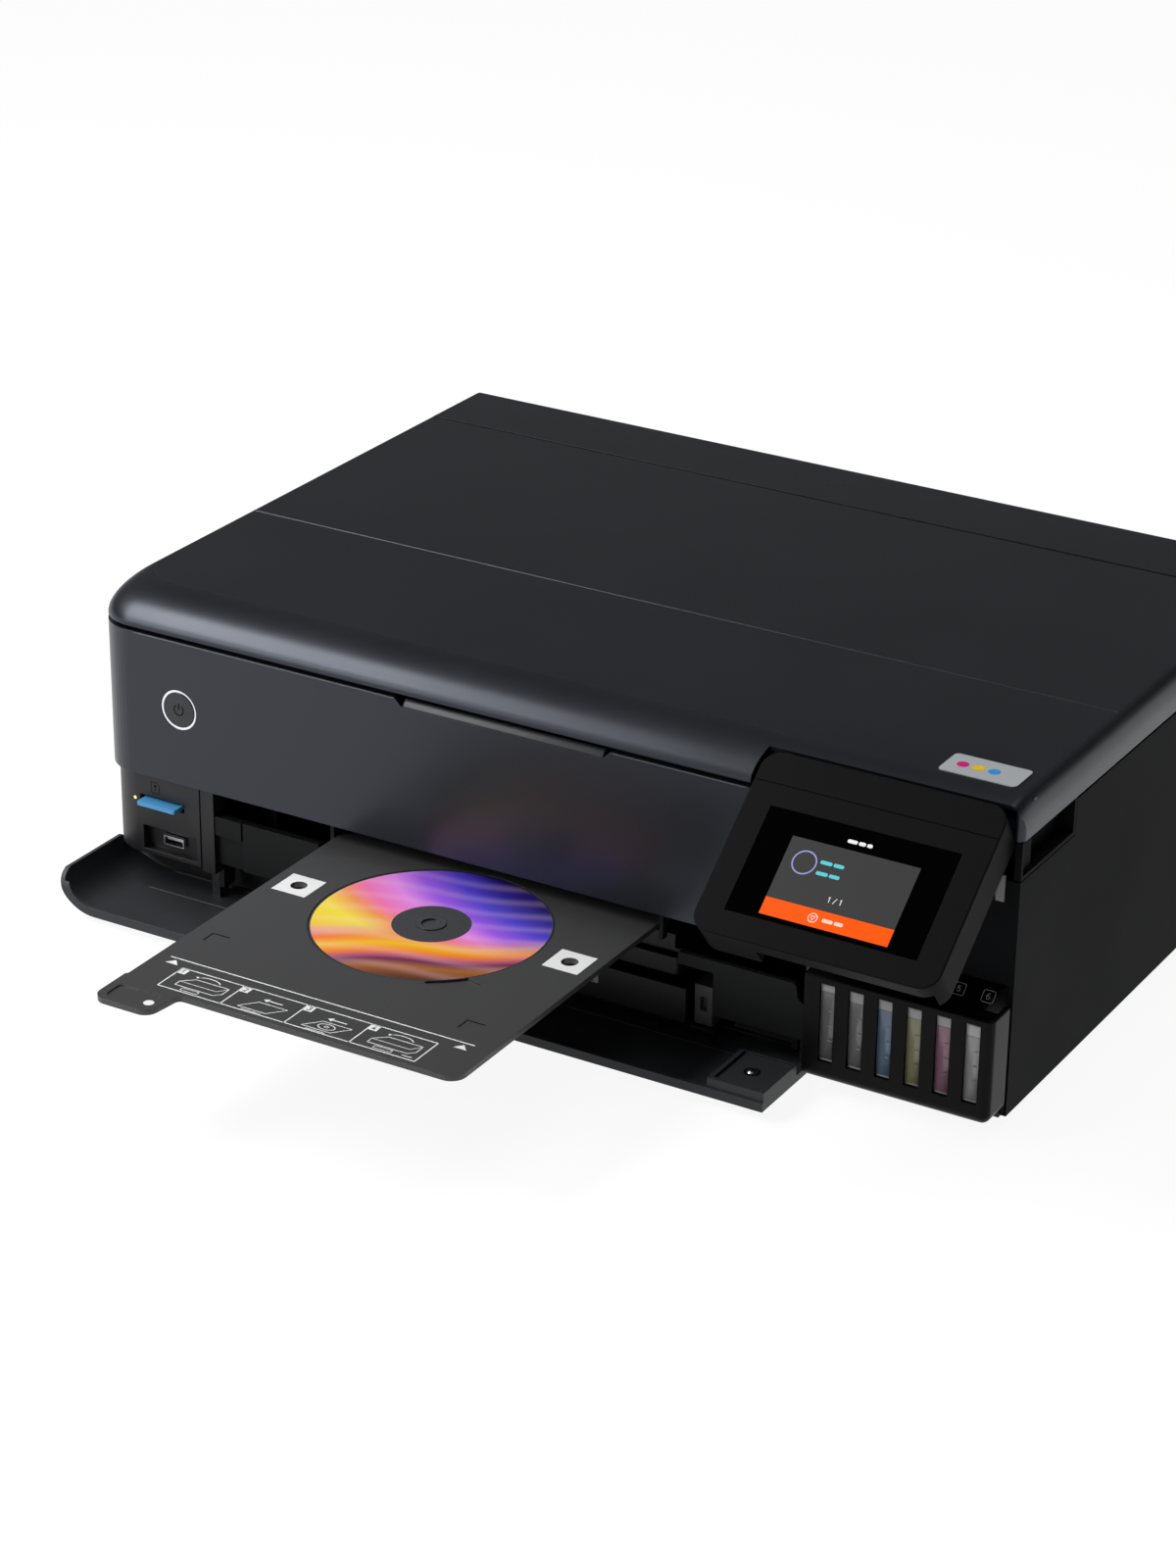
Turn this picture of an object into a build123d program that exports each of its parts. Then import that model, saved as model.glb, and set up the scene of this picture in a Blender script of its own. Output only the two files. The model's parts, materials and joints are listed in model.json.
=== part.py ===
"""Wide-format inkjet multifunction printer with ink tanks, as an assembly of separate pieces.

Millimetres, +Z up, +Y towards the back. Places are given as three distances: across (from the
left side), depth (behind the face of the front panel) and height (above the table). The origin
is under the middle of the printer as it stands with its disc tray out, so LEFT and FRONT turn
those distances into X and Y.
"""

import os
from math import acos, atan2, cos, degrees, pi, radians, sin, sqrt, tan

from build123d import *

# Whole printer
WIDTH = 523.0  # across the housing
BODY_REACH = 376.0  # from the front panel's face to the back
TRAY_REACH = 200.5  # from the front panel's face to the tip of the disc tray
TOP = 169.0  # top of the document cover
LEFT = -WIDTH / 2
FRONT = (TRAY_REACH - BODY_REACH) / 2
WALL = 2.5  # moulded casing wall
CORNER = 24.0  # vertical corner at the front left
FOOT_HEIGHT = 4.5

# Levels
PANEL_LOW = 72.5  # lower edge of the front panel
PANEL_HIGH = 153.0  # upper edge of the front panel
DECK_TOP = 155.3  # scanner bed
LID_LOW = 155.6  # lower edge of the document cover
SCANNER_LOW = 133.0  # underside of the scanner unit
SIDE_SEAM = 129.3  # where the scanner unit's grip begins on the right side
REAR_SEAM = 153.5  # top of the rear panel

# Front view
POST = (64.3, 72.4)  # left post of the paper bay
RIGHT_POST = (420.7, 422.7)
PANEL_END = 389.0  # right end of the front panel
TANK_LEFT = 423.0  # left end of the tank block
LEDGE = 65.0  # top of the tank block
POWER_AT = (54.6, 115.0)
POWER_RADIUS = 9.7
GRIP_NOTCH = (186.3, 312.6)

# Document cover and scanner unit
LID_DEPTH = 322.0
LID_FRONT_ROUND = (33.0, 13.0)  # depth and height of the soft front edge
LID_SIDE_ROUND = (8.0, 13.0)
LID_LEFT_ROUND = (5.0, 13.0)
SKIRT_LOW = 150.0  # lower edge of the cover's skirt on the right side
LID_REAR_ROUND = 2.2
LID_CORNER = 3.5  # upright corner at the front right, beside the control panel
NOTCH_LEFT = 388.5  # the cover is cut away for the control panel from here
NOTCH_DEPTH = 18.5
REAR_HINGE = (317.0, 164.5)  # depth and height of the cover's and scanner unit's axis
REAR_PIN = 1.0
KNUCKLE = 1.9
GLASS = ((28.0, 330.0), (40.0, 262.0))
FEED_COVER_HINGE = (371.5, 163.5)

# Control panel, tilted up from its hinge
PANEL_HINGE = (9.9, 149.9)
PANEL_TILT = 50.67
PANEL_ACROSS = (390.2, 518.9)
PANEL_LENGTH = 98.3
PANEL_THICK = 20.0
HINGE_FROM_BOTTOM = 83.3
HINGE_FROM_FACE = 12.3
SCREEN_ACROSS = (404.4, 504.7)
SCREEN_UP = (13.1, 70.0)

# Front cover, folded open
COVER_HINGE = (14.6, 19.0)
COVER_RIGHT = 421.0
COVER_DEPTH = (-39.0, 25.6)
COVER_LOW = 4.3

# Ink tanks
TANKS = 6
FIRST_WINDOW = 431.4
TANK_PITCH = 15.46
WINDOW_WIDTH = 8.03
WINDOW_HEIGHT = (19.2, 61.5)
TANK_WIDTH = 13.8
TANK_TOP = 60.9
FILLER_DEPTH = 62.0
CAP_HINGE = (80.0, 64.4)
TANK_COVER_HINGE = (88.0, 97.5)

# Disc tray
TRAY_ACROSS = (148.4, 337.3)
TRAY_DEPTH = (-179.5, 70.0)
TRAY_TOP = 65.0
TRAY_THICK = 2.8
DISC_AT = (242.8, -53.5)
DISC_RADIUS = 60.0

# Paper path
ROLLER_HEIGHT = 55.5
ROLLER_RADIUS = 6.0
EJECT_DEPTH = 100.0
FEED_DEPTH = 150.0
GEAR_MODULE = 1.0
FEED_TEETH = 24
IDLER_TEETH = 26
PINION_TEETH = 18
GEAR_ACROSS = (52.0, 60.0)
SIDE_PLATES = (66.0, 424.0)  # left faces of the two chassis plates
PLATE = 2.0
RAIL_DEPTH = 188.0
BELT_HEIGHT = 95.0
PULLEYS = (36.0, 508.0)
PULLEY_RADIUS = 6.0

# A sketch plane for each view, with its origin at the left, front and table
PLAN = Plane(origin=(LEFT, FRONT, 0), x_dir=(1, 0, 0), z_dir=(0, 0, 1))
SECTION = Plane(origin=(LEFT, FRONT, 0), x_dir=(0, 1, 0), z_dir=(1, 0, 0))
FACE = Plane(origin=(LEFT, FRONT, 0), x_dir=(1, 0, 0), z_dir=(0, -1, 0))


def block(across, depth, height, mode=Mode.ADD):
    """A box between two distances each way, in the part being built."""
    sizes = [high - low for low, high in (across, depth, height)]
    middle = (LEFT + sum(across) / 2, FRONT + sum(depth) / 2, sum(height) / 2)
    with Locations(middle):
        Box(*sizes, mode=mode)


def rod_across(radius, across, depth, height, mode=Mode.ADD):
    """A round bar that runs from left to right."""
    middle = (LEFT + sum(across) / 2, FRONT + depth, height)
    with Locations(Location(middle, (0, 90, 0))):
        Cylinder(radius, across[1] - across[0], mode=mode)


def rod_deep(radius, across, depth, height, mode=Mode.ADD):
    """A round bar that runs from front to back."""
    middle = (LEFT + across, FRONT + sum(depth) / 2, height)
    with Locations(Location(middle, (90, 0, 0))):
        Cylinder(radius, depth[1] - depth[0], mode=mode)


def rod_up(radius, across, depth, height, mode=Mode.ADD):
    """An upright round bar."""
    with Locations((LEFT + across, FRONT + depth, sum(height) / 2)):
        Cylinder(radius, height[1] - height[0], mode=mode)


def polygon(plane, *points):
    """A flat outline on a plane, for an extrusion in the part being built."""
    with BuildSketch(plane) as outline:
        with BuildLine():
            Polyline(*points, close=True)
        make_face()
    return outline.sketch


def rounded_polygon(plane, corners):
    """An outline whose corners are (place, radius) pairs."""
    with BuildSketch(plane) as outline:
        with BuildLine():
            FilletPolyline(*[at for at, _ in corners], radius=[r for _, r in corners], close=True)
        make_face()
    return outline.sketch


def rounded_box(across, depth, height, radius, mode=Mode.ADD):
    """A box whose upright edges are rounded."""
    with BuildSketch(PLAN.offset(height[0])) as outline:
        with Locations((sum(across) / 2, sum(depth) / 2)):
            RectangleRounded(across[1] - across[0], depth[1] - depth[0], radius)
    extrude(outline.sketch, amount=height[1] - height[0], mode=mode)


def corner_wall(plane, end, tip, inset, wall):
    """A wall along the front that turns the round front left corner.

    end is where it stops across, tip is how far it reaches down the side, inset is how far
    its outer face lies inside the casing's.
    """
    outer = CORNER - inset
    inner = outer - wall
    turn = degrees(acos((CORNER - tip) / outer)) if tip < CORNER else 90
    with BuildSketch(plane) as outline:
        with BuildLine():
            front = Line((end, inset), (CORNER, inset))
            bend = CenterArc((CORNER, CORNER), outer, 270, -turn)
            if tip > CORNER:
                side = Line(bend @ 1, (inset, tip))
                step = Line(side @ 1, (inset + wall, tip))
                back = Line(step @ 1, (inset + wall, CORNER))
            else:
                angle = radians(270 - turn)
                start = (CORNER + inner * cos(angle), CORNER + inner * sin(angle))
                back = Line(bend @ 1, start)
            inside = CenterArc((CORNER, CORNER), inner, 270 - turn, turn)
            last = Line(inside @ 1, (end, inset + wall))
            Line(last @ 1, front @ 0)
        make_face()
    return outline.sketch


def finish(part, name):
    """Label a piece and write it."""
    part.part.label = name
    export_step(part.part, f"parts/{name}.step")


# Casing

def make_base_pan():
    """Moulded floor with a rim, cut back at the front where the front cover swings."""
    rim = 16.0
    front = COVER_DEPTH[1] + 1.8
    with BuildPart() as base_pan:
        block((WALL, WIDTH - WALL), (front, 371.0), (FOOT_HEIGHT, FOOT_HEIGHT + WALL))
        block((TANK_LEFT + WALL, WIDTH - WALL), (15.8, front), (FOOT_HEIGHT, FOOT_HEIGHT + WALL))
        block((WALL, 2 * WALL), (front, 371.0), (FOOT_HEIGHT, rim))
        block((WIDTH - 2 * WALL, WIDTH - WALL), (90.0, 371.0), (FOOT_HEIGHT, rim))
        block((WALL, 137.0), (front, front + WALL), (FOOT_HEIGHT, 23.0))
        block((370.0, TANK_LEFT), (front, front + WALL), (FOOT_HEIGHT, 20.0))
        block((WALL, 438.0), (368.5, 371.0), (FOOT_HEIGHT, 9.8))
    finish(base_pan, "base_pan")


def make_rubber_feet():
    """Four round feet with a rounded lower edge."""
    with BuildPart() as rubber_feet:
        for x in (32.0, WIDTH - 32.0):
            for y in (52.0, 348.0):
                rod_up(10.0, x, y, (0.0, FOOT_HEIGHT))
        rims = rubber_feet.edges().group_by(Axis.Z)[0]
        fillet(rims, 0.8)
    finish(rubber_feet, "rubber_feet")


def rear_hinge_arm(root, post, pin):
    """Arm from a side wall up to the rear axis, with the pin that the covers turn on."""
    depth, height = REAR_HINGE
    thick = (depth - KNUCKLE, depth + KNUCKLE)
    block(root, thick, (SCANNER_LOW - 4.6, SCANNER_LOW - 0.6))
    block(post, thick, (SCANNER_LOW - 4.6, height))
    rod_across(KNUCKLE, post, depth, height)
    rod_across(REAR_PIN, pin, depth, height)


def make_left_side_panel():
    """Flat side wall, stepped at the front below the front panel."""
    with BuildPart() as left_side_panel:
        outline = polygon(
            SECTION,
            (20.6, FOOT_HEIGHT),
            (371.0, FOOT_HEIGHT),
            (371.0, PANEL_HIGH),
            (26.3, PANEL_HIGH),
            (26.3, PANEL_LOW - 0.4),
            (20.6, PANEL_LOW - 0.4),
        )
        extrude(outline, amount=WALL)
        low_front = left_side_panel.edges().filter_by(Axis.X).group_by(Axis.Y)[0].sort_by(Axis.Z)[0]
        fillet(low_front, 8)
        block((WALL, 8.0), (60.0, 62.0), (30.0, 140.0))
        rear_hinge_arm((WALL, 24.0), (19.0, 24.0), (19.0, 36.0))
    finish(left_side_panel, "left_side_panel")


def make_right_side_panel():
    """Side wall that turns the corner into the wall behind the control panel."""
    step = 80.4
    high = 148.6
    with BuildPart() as right_side_panel:
        outline = polygon(
            SECTION.offset(WIDTH - WALL),
            (18.6, FOOT_HEIGHT),
            (371.0, FOOT_HEIGHT),
            (371.0, REAR_SEAM - 0.5),
            (LID_DEPTH, REAR_SEAM - 0.5),
            (LID_DEPTH, high),
            (step, high),
            (step, SIDE_SEAM),
            (18.6, SIDE_SEAM),
        )
        extrude(outline, amount=WALL)
        block((TANK_LEFT, WIDTH - WALL), (18.6, 18.6 + WALL), (74.6, SIDE_SEAM))
        block((PANEL_END + 0.3, TANK_LEFT), (18.6, 18.6 + WALL), (79.0, SIDE_SEAM))
        block((TANK_LEFT, TANK_LEFT + WALL), (18.6 + WALL, 60.0), (74.6, 90.0))
        block((WIDTH - 3.2, WIDTH - 1), (15.8, 18.6), (FOOT_HEIGHT + WALL, 62.0))
        rod_across(1.5, (510.0, WIDTH - WALL), *TANK_COVER_HINGE)
        rear_hinge_arm((499.0, WIDTH - WALL), (499.0, 504.0), (487.0, 504.0))
    finish(right_side_panel, "right_side_panel")


def make_rear_panel():
    """Back wall with its port openings, vents and the bay for the maintenance box."""
    with BuildPart() as rear_panel:
        rounded_box((0.0, WIDTH), (350.0, BODY_REACH), (FOOT_HEIGHT, REAR_SEAM), 6.0)
        block((-1, WIDTH + 1), (340.0, 371.3), (0.0, TOP), Mode.SUBTRACT)
        block((WALL, WIDTH - WALL), (371.0, BODY_REACH - WALL), (10.5, TOP), Mode.SUBTRACT)
        block((36.0, 70.0), (371.0, 380.0), (18.0, 44.0), Mode.SUBTRACT)
        block((9.0, 23.0), (371.0, 380.0), (76.0, 90.0), Mode.SUBTRACT)
        block((9.0, 27.0), (371.0, 380.0), (98.0, 114.0), Mode.SUBTRACT)
        block((439.0, 513.0), (371.0, 380.0), (FOOT_HEIGHT - 1, 61.0), Mode.SUBTRACT)
        with BuildSketch(FACE.offset(-BODY_REACH)) as cover_line:
            with Locations((261.5, 96.0)):
                RectangleRounded(260, 76, 6)
                RectangleRounded(257, 73, 5, mode=Mode.SUBTRACT)
        extrude(cover_line.sketch, amount=1.0, mode=Mode.SUBTRACT)
        for row in range(9):
            z = 84.0 + 6.0 * row
            block((440.0, 500.0), (371.0, 380.0), (z, z + 2.6), Mode.SUBTRACT)
    finish(rear_panel, "rear_panel")


def make_front_panel():
    """Upper front wall, turned round the left corner, with a finger notch and the button's hole."""
    left, right = GRIP_NOTCH
    with BuildPart() as front_panel:
        wall = corner_wall(PLAN.offset(PANEL_LOW), PANEL_END, 26.0, 0.0, WALL)
        extrude(wall, amount=PANEL_HIGH - PANEL_LOW)
        block((CORNER, PANEL_END), (WALL, 12.0), (PANEL_HIGH - WALL, PANEL_HIGH))
        block((PANEL_END - WALL, PANEL_END), (WALL, 18.0), (PANEL_LOW, PANEL_HIGH))
        block((CORNER, PANEL_END - WALL), (WALL, 8.0), (PANEL_LOW, PANEL_LOW + 2))
        notch = polygon(
            FACE.offset(-11.0),
            (left, PANEL_HIGH + 1),
            (left + 5.3, 148.7),
            (right - 5.3, 148.7),
            (right, PANEL_HIGH + 1),
        )
        extrude(notch, amount=12.0, mode=Mode.SUBTRACT)
        trough = polygon(SECTION.offset(left + 5.3), (2.5, 148.7), (11.0, 150.4), (11.0, 148.0), (2.5, 146.2))
        extrude(trough, amount=right - left - 10.6)
        rod_deep(10.0, POWER_AT[0], (-1.0, 4.0), POWER_AT[1], Mode.SUBTRACT)
        rod_deep(11.0, POWER_AT[0], (-1.0, 0.6), POWER_AT[1], Mode.SUBTRACT)
        rod_deep(13.0, POWER_AT[0], (WALL, 9.0), POWER_AT[1])
        rod_deep(10.0, POWER_AT[0], (0.0, 7.5), POWER_AT[1], Mode.SUBTRACT)
    finish(front_panel, "front_panel")


def make_power_button():
    """Round cap with a rounded edge on a short stem."""
    with BuildPart() as power_button:
        rod_deep(POWER_RADIUS, POWER_AT[0], (0.1, 5.6), POWER_AT[1])
        rims = power_button.edges().filter_by(GeomType.CIRCLE).group_by(Axis.Y)[0]
        fillet(rims, 0.6)
    finish(power_button, "power_button")


def make_card_panel():
    """Recessed panel at the left of the bay with the card slot and the USB recess."""
    inset = 2.8
    wall = 2.2
    with BuildPart() as card_panel:
        skin = corner_wall(PLAN.offset(26.0), 63.6, 20.4, inset, wall)
        extrude(skin, amount=PANEL_LOW - 0.4 - 26.0)
        block((25.7, 53.9), (0.0, 8.0), (55.0, 59.6), Mode.SUBTRACT)
        block((27.0, 61.0), (0.0, 8.0), (28.5, 42.0), Mode.SUBTRACT)
        block((25.0, 61.6), (5.0, 9.0), (26.0, 28.5))
        block((25.0, 61.6), (8.0, 9.2), (28.5, 43.0))
        block((25.0, 61.6), (5.0, 9.2), (42.0, 43.5))
        block((38.2, 51.5), (7.0, 10.0), (32.4, 38.3), Mode.SUBTRACT)
        block((61.6, 63.6), (5.0, 16.0), (26.0, PANEL_LOW - 0.4))
    finish(card_panel, "card_panel")


def make_card_reader():
    """Board with the card socket and the USB socket's metal shell and tongue."""
    with BuildPart() as card_reader:
        block((22.0, 60.0), (28.0, 29.6), (29.0, 68.0))
        block((26.5, 53.1), (6.0, 28.0), (60.0, 61.4))
        block((26.5, 53.1), (6.0, 28.0), (53.0, 54.4))
        for x in (26.5, 52.7):
            block((x, x + 0.4), (6.0, 28.0), (54.4, 60.0))
        block((38.6, 51.1), (4.9, 28.0), (32.8, 37.9))
        block((39.0, 50.7), (4.0, 22.0), (33.2, 37.5), Mode.SUBTRACT)
        block((39.9, 49.8), (6.4, 22.0), (35.4, 37.0))
    finish(card_reader, "card_reader")


def make_memory_card():
    """Memory card, part way out of its slot, with its clipped corner."""
    with BuildPart() as memory_card:
        outline = polygon(
            PLAN.offset(56.1),
            (28.0, -3.5),
            (52.0, -3.5),
            (52.0, 24.4),
            (48.0, 27.6),
            (28.0, 27.6),
        )
        extrude(outline, amount=2.1)
        fillet(memory_card.edges().filter_by(Axis.Z).group_by(Axis.Y)[0], 1.0)
    finish(memory_card, "memory_card")


def make_bay_frame():
    """Posts and top beam round the paper slot, with the pins that the front cover turns on."""
    hinge_depth, hinge_height = COVER_HINGE
    with BuildPart() as bay_frame:
        block(POST, (3.0, 16.0), (24.0, PANEL_LOW - 0.4))
        block(RIGHT_POST, (3.0, 16.0), (20.0, LEDGE))
        block((POST[0], RIGHT_POST[1]), (18.2, 22.0), (PANEL_LOW + 2.2, PANEL_LOW + 6))
        for x in (POST[0], RIGHT_POST[0]):
            block((x, x + 2), (12.0, 22.0), (58.0, LEDGE))
            block((x, x + 2), (18.2, 22.0), (58.0, PANEL_LOW + 6))
        for ear in ((70.3, 73.3), (411.0, 414.0)):
            block(ear, (9.6, 19.6), (14.0, 25.0))
        block((411.0, 421.0), (9.6, 16.0), (25.0, 28.0))
        rod_across(2.0, (64.8, 72.0), hinge_depth, hinge_height)
        rod_across(2.0, (412.0, 420.2), hinge_depth, hinge_height)
        block((64.3, 66.3), (16.0, 66.0), (26.0, 40.0))
        block((420.9, 422.7), (16.0, 66.0), (26.0, 40.0))
    finish(bay_frame, "bay_frame")


def make_bay_flaps():
    """The two dark closing plates on either side of the cassettes."""
    with BuildPart() as bay_flaps:
        block((72.6, 89.1), (3.6, 6.1), (47.0, 57.6))
        block((72.6, 137.0), (6.1, 8.6), (29.6, 57.4))
        block((89.7, 137.0), (4.2, 6.1), (29.6, 57.4))
        block((137.0, 140.5), (6.1, 8.6), (46.0, 52.0))
        outline = rounded_polygon(
            FACE.offset(-8.0),
            [
                ((348.8, 52.6), 0.5),
                ((348.8, 46.0), 0.5),
                ((368.8, 46.0), 0.5),
                ((368.8, 22.6), 1.5),
                ((420.5, 22.6), 0.5),
                ((420.5, 41.0), 1.0),
                ((415.5, 45.0), 2.0),
                ((414.5, 52.6), 2.0),
            ],
        )
        extrude(outline, amount=3.0)
    finish(bay_flaps, "bay_flaps")


def make_tank_fascia():
    """Front of the tank block with a window for each tank and the ledge above them."""
    with BuildPart() as tank_fascia:
        block((TANK_LEFT, WIDTH), (-3.0, 15.6), (8.0, LEDGE))
        uprights = tank_fascia.edges().filter_by(Axis.Z).group_by(Axis.Y)[0]
        fillet(uprights.sort_by(Axis.X)[-1], 4)
        fillet(tank_fascia.edges().filter_by(Axis.Y).group_by(Axis.Z)[0].sort_by(Axis.X)[-1], 6)
        top_front = tank_fascia.edges().filter_by(Axis.X).group_by(Axis.Y)[0].sort_by(Axis.Z)[-1]
        fillet(top_front, 1.2)
        inside = (TANK_LEFT + WALL, WIDTH - WALL)
        block(inside, (-0.5, 16.0), (8.0 + WALL, LEDGE - WALL), Mode.SUBTRACT)
        block(inside, (7.4, 16.0), (LEDGE - WALL, LEDGE + 1), Mode.SUBTRACT)
        for tank in range(TANKS):
            x = FIRST_WINDOW + TANK_PITCH * tank
            block((x, x + WINDOW_WIDTH), (-4.0, 1.0), WINDOW_HEIGHT, Mode.SUBTRACT)
    finish(tank_fascia, "tank_fascia")


def make_tank_label_strip():
    """Slanted glossy strip between the ledge and the wall above it."""
    with BuildPart() as tank_label_strip:
        outline = polygon(
            SECTION.offset(TANK_LEFT + 2.7),
            (7.6, 65.0),
            (17.6, 74.2),
            (18.5, 74.2),
            (18.5, 71.6),
            (9.3, 63.2),
        )
        extrude(outline, amount=513.0 - TANK_LEFT - 2.7)
    finish(tank_label_strip, "tank_label_strip")


def make_ink_tanks():
    """Six tanks side by side, each with its window boss, filler neck and the ears of its cap."""
    hinge_depth, hinge_height = CAP_HINGE
    for tank in range(TANKS):
        window = FIRST_WINDOW + TANK_PITCH * tank
        middle = window + WINDOW_WIDTH / 2
        body = (middle - TANK_WIDTH / 2, middle + TANK_WIDTH / 2)
        with BuildPart() as ink_tank:
            block(body, (0.2, 86.0), (12.0, TANK_TOP))
            fillet(ink_tank.edges().filter_by(Axis.Z), 1.2)
            boss = (window + 0.2, window + WINDOW_WIDTH - 0.2)
            block(boss, (-1.6, 0.2), (WINDOW_HEIGHT[0] + 0.2, TANK_TOP))
            rod_up(4.6, middle, FILLER_DEPTH, (TANK_TOP, 67.0))
            rod_up(2.5, middle, FILLER_DEPTH, (60.0, 68.0), Mode.SUBTRACT)
            for side in (-1, 1):
                ear = sorted((middle + 3.3 * side, middle + 5.2 * side))
                block(ear, (hinge_depth - 2, hinge_depth + 2), (TANK_TOP, hinge_height + 2))
            rod_across(0.9, (middle - 4, middle + 4), hinge_depth, hinge_height)
        finish(ink_tank, f"ink_tank_{tank + 1}")


def make_tank_caps():
    """Hinged filler cap of each tank: a lid, a sealing skirt and a hinge lug."""
    hinge_depth, hinge_height = CAP_HINGE
    for tank in range(TANKS):
        middle = FIRST_WINDOW + TANK_PITCH * tank + WINDOW_WIDTH / 2
        with BuildPart() as tank_cap:
            rounded_box((middle - 6.2, middle + 6.2), (51.5, 76.0), (67.4, 70.4), 3.0)
            rod_up(6.0, middle, FILLER_DEPTH, (62.0, 67.4))
            rod_up(5.3, middle, FILLER_DEPTH, (61.0, 67.4), Mode.SUBTRACT)
            block((middle - 3, middle + 3), (74.0, hinge_depth), (hinge_height + 0.6, 70.4))
            rod_across(2.4, (middle - 3, middle + 3), hinge_depth, hinge_height)
            block((middle - 3, middle + 3), (hinge_depth - 2, hinge_depth + 2.4), (hinge_height, 68.0))
            rod_across(0.96, (middle - 4, middle + 4), hinge_depth, hinge_height, Mode.SUBTRACT)
            block((middle - 4, middle + 4), (50.0, 52.6), (69.2, 70.4))
        finish(tank_cap, f"tank_cap_{tank + 1}")


def make_tank_cover():
    """Flat lid over the filler caps, hinged at the back."""
    with BuildPart() as tank_cover:
        depth, height = TANK_COVER_HINGE
        block((TANK_LEFT + 4, 512.6), (26.0, depth - 2), (height + 0.5, height + 3))
        block((TANK_LEFT + 4, 512.6), (26.0, 28.0), (height - 3.5, height + 0.5))
        for x in (TANK_LEFT + 4, 508.6):
            rod_across(3.0, (x, x + 4), depth, height)
            block((x, x + 4), (depth - 4, depth), (height, height + 3))
            rod_across(1.56, (x - 1, x + 5), depth, height, Mode.SUBTRACT)
    finish(tank_cover, "tank_cover")


# Front cover

def cover_profile(plane, wall):
    """The front cover seen from the front: flat, then curled up round the left corner."""
    low = COVER_LOW
    centre = (CORNER, low + CORNER)
    end = 180 + degrees(atan2(4.0, sqrt(CORNER**2 - 16)))
    inner = CORNER - wall
    with BuildSketch(plane) as outline:
        with BuildLine():
            base = Line((COVER_RIGHT, low), (CORNER, low))
            curl = CenterArc(centre, CORNER, 270, end - 270)
            tip = (centre[0] + inner * cos(radians(end)), centre[1] + inner * sin(radians(end)))
            Line(curl @ 1, tip)
            back = CenterArc(centre, inner, end, 270 - end)
            top = Line(back @ 1, (COVER_RIGHT, low + wall))
            Line(top @ 1, base @ 0)
        make_face()
    return outline.sketch


def make_front_cover():
    """Fold-down front cover, open: skin, edge lips, right end block and hinge lugs."""
    front, rear = COVER_DEPTH
    hinge_depth, hinge_height = COVER_HINGE
    with BuildPart() as front_cover:
        extrude(cover_profile(FACE.offset(-rear), WALL), amount=rear - front)
        extrude(cover_profile(FACE.offset(-front - WALL), 5.0), amount=WALL)
        side = rounded_polygon(
            SECTION,
            [
                ((front, 0.0), 0.5),
                ((front, 25.0), 13.0),
                ((16.0, 25.0), 1.0),
                ((rear, 9.0), 0.8),
                ((rear, 0.0), 0.5),
            ],
        )
        extrude(side, amount=WIDTH, mode=Mode.INTERSECT)
        block((COVER_RIGHT - WALL, COVER_RIGHT), (front, rear), (COVER_LOW, COVER_LOW + 4))
        block((CORNER + 6, COVER_RIGHT), (rear - WALL, rear), (COVER_LOW, COVER_LOW + 3.4))
        block((390.0, COVER_RIGHT), (-38.0, -4.0), (COVER_LOW, COVER_LOW + 10))
        block((392.5, COVER_RIGHT - WALL), (-35.5, -4.5), (COVER_LOW + 8.8, COVER_LOW + 11), Mode.SUBTRACT)
        for x in (64.6, 415.0):
            lug = (x, x + 5)
            block(lug, (hinge_depth - 4, hinge_depth + 4), (COVER_LOW + 1, hinge_height))
            rod_across(4.0, lug, hinge_depth, hinge_height)
            rod_across(2.06, (x - 1, x + 6), hinge_depth, hinge_height, Mode.SUBTRACT)
        block((CORNER + 6, 386.0), (1.2, 2.4), (COVER_LOW + WALL, COVER_LOW + WALL + 0.4))
    finish(front_cover, "front_cover")


# Document cover and scanner unit

def lid_form(inset, low, high):
    """The document cover's rounded block, or the same block shrunk for its hollow."""
    front_run, front_rise = LID_FRONT_ROUND
    side_run, side_rise = LID_SIDE_ROUND
    left_run, left_rise = LID_LEFT_ROUND
    shoulder = high - front_rise + inset
    with BuildPart() as form:
        with BuildSketch(SECTION):
            with BuildLine():
                Line((inset, low), (inset, shoulder))
                centre = (front_run, shoulder)
                EllipticalCenterArc(
                    centre, front_run - inset, front_rise - inset, start_angle=90, arc_size=90
                )
                rear = max(LID_REAR_ROUND - inset, 0.4)
                back = LID_DEPTH - inset
                Line((front_run, high), (back - rear, high))
                CenterArc((back - rear, high - rear), rear, 90, -90)
                Polyline((back, high - rear), (back, low), (inset, low))
            make_face()
        extrude(amount=WIDTH)
        with BuildSketch(FACE.offset(-LID_DEPTH)):
            with BuildLine():
                Line((inset, low), (inset, high - left_rise + inset))
                EllipticalCenterArc(
                    (left_run, high - left_rise + inset),
                    left_run - inset,
                    left_rise - inset,
                    start_angle=90,
                    arc_size=90,
                )
                Line((left_run, high), (WIDTH - side_run, high))
                EllipticalCenterArc(
                    (WIDTH - side_run, high - side_rise + inset),
                    side_run - inset,
                    side_rise - inset,
                    start_angle=0,
                    arc_size=90,
                )
                Polyline(
                    (WIDTH - inset, high - side_rise + inset), (WIDTH - inset, low), (inset, low)
                )
            make_face()
        extrude(amount=LID_DEPTH, mode=Mode.INTERSECT)
        outline = rounded_polygon(
            PLAN.offset(low),
            [
                ((inset, inset), CORNER - inset),
                ((NOTCH_LEFT - inset, inset), 3.0),
                ((NOTCH_LEFT - inset, NOTCH_DEPTH + inset), 2.0 + inset),
                ((WIDTH - inset, NOTCH_DEPTH + inset), LID_CORNER - inset / 3),
                ((WIDTH - inset, LID_DEPTH - inset), 2.5),
                ((inset, LID_DEPTH - inset), 2.5),
            ],
        )
        extrude(outline, amount=high - low, mode=Mode.INTERSECT)
    return form.part


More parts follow.
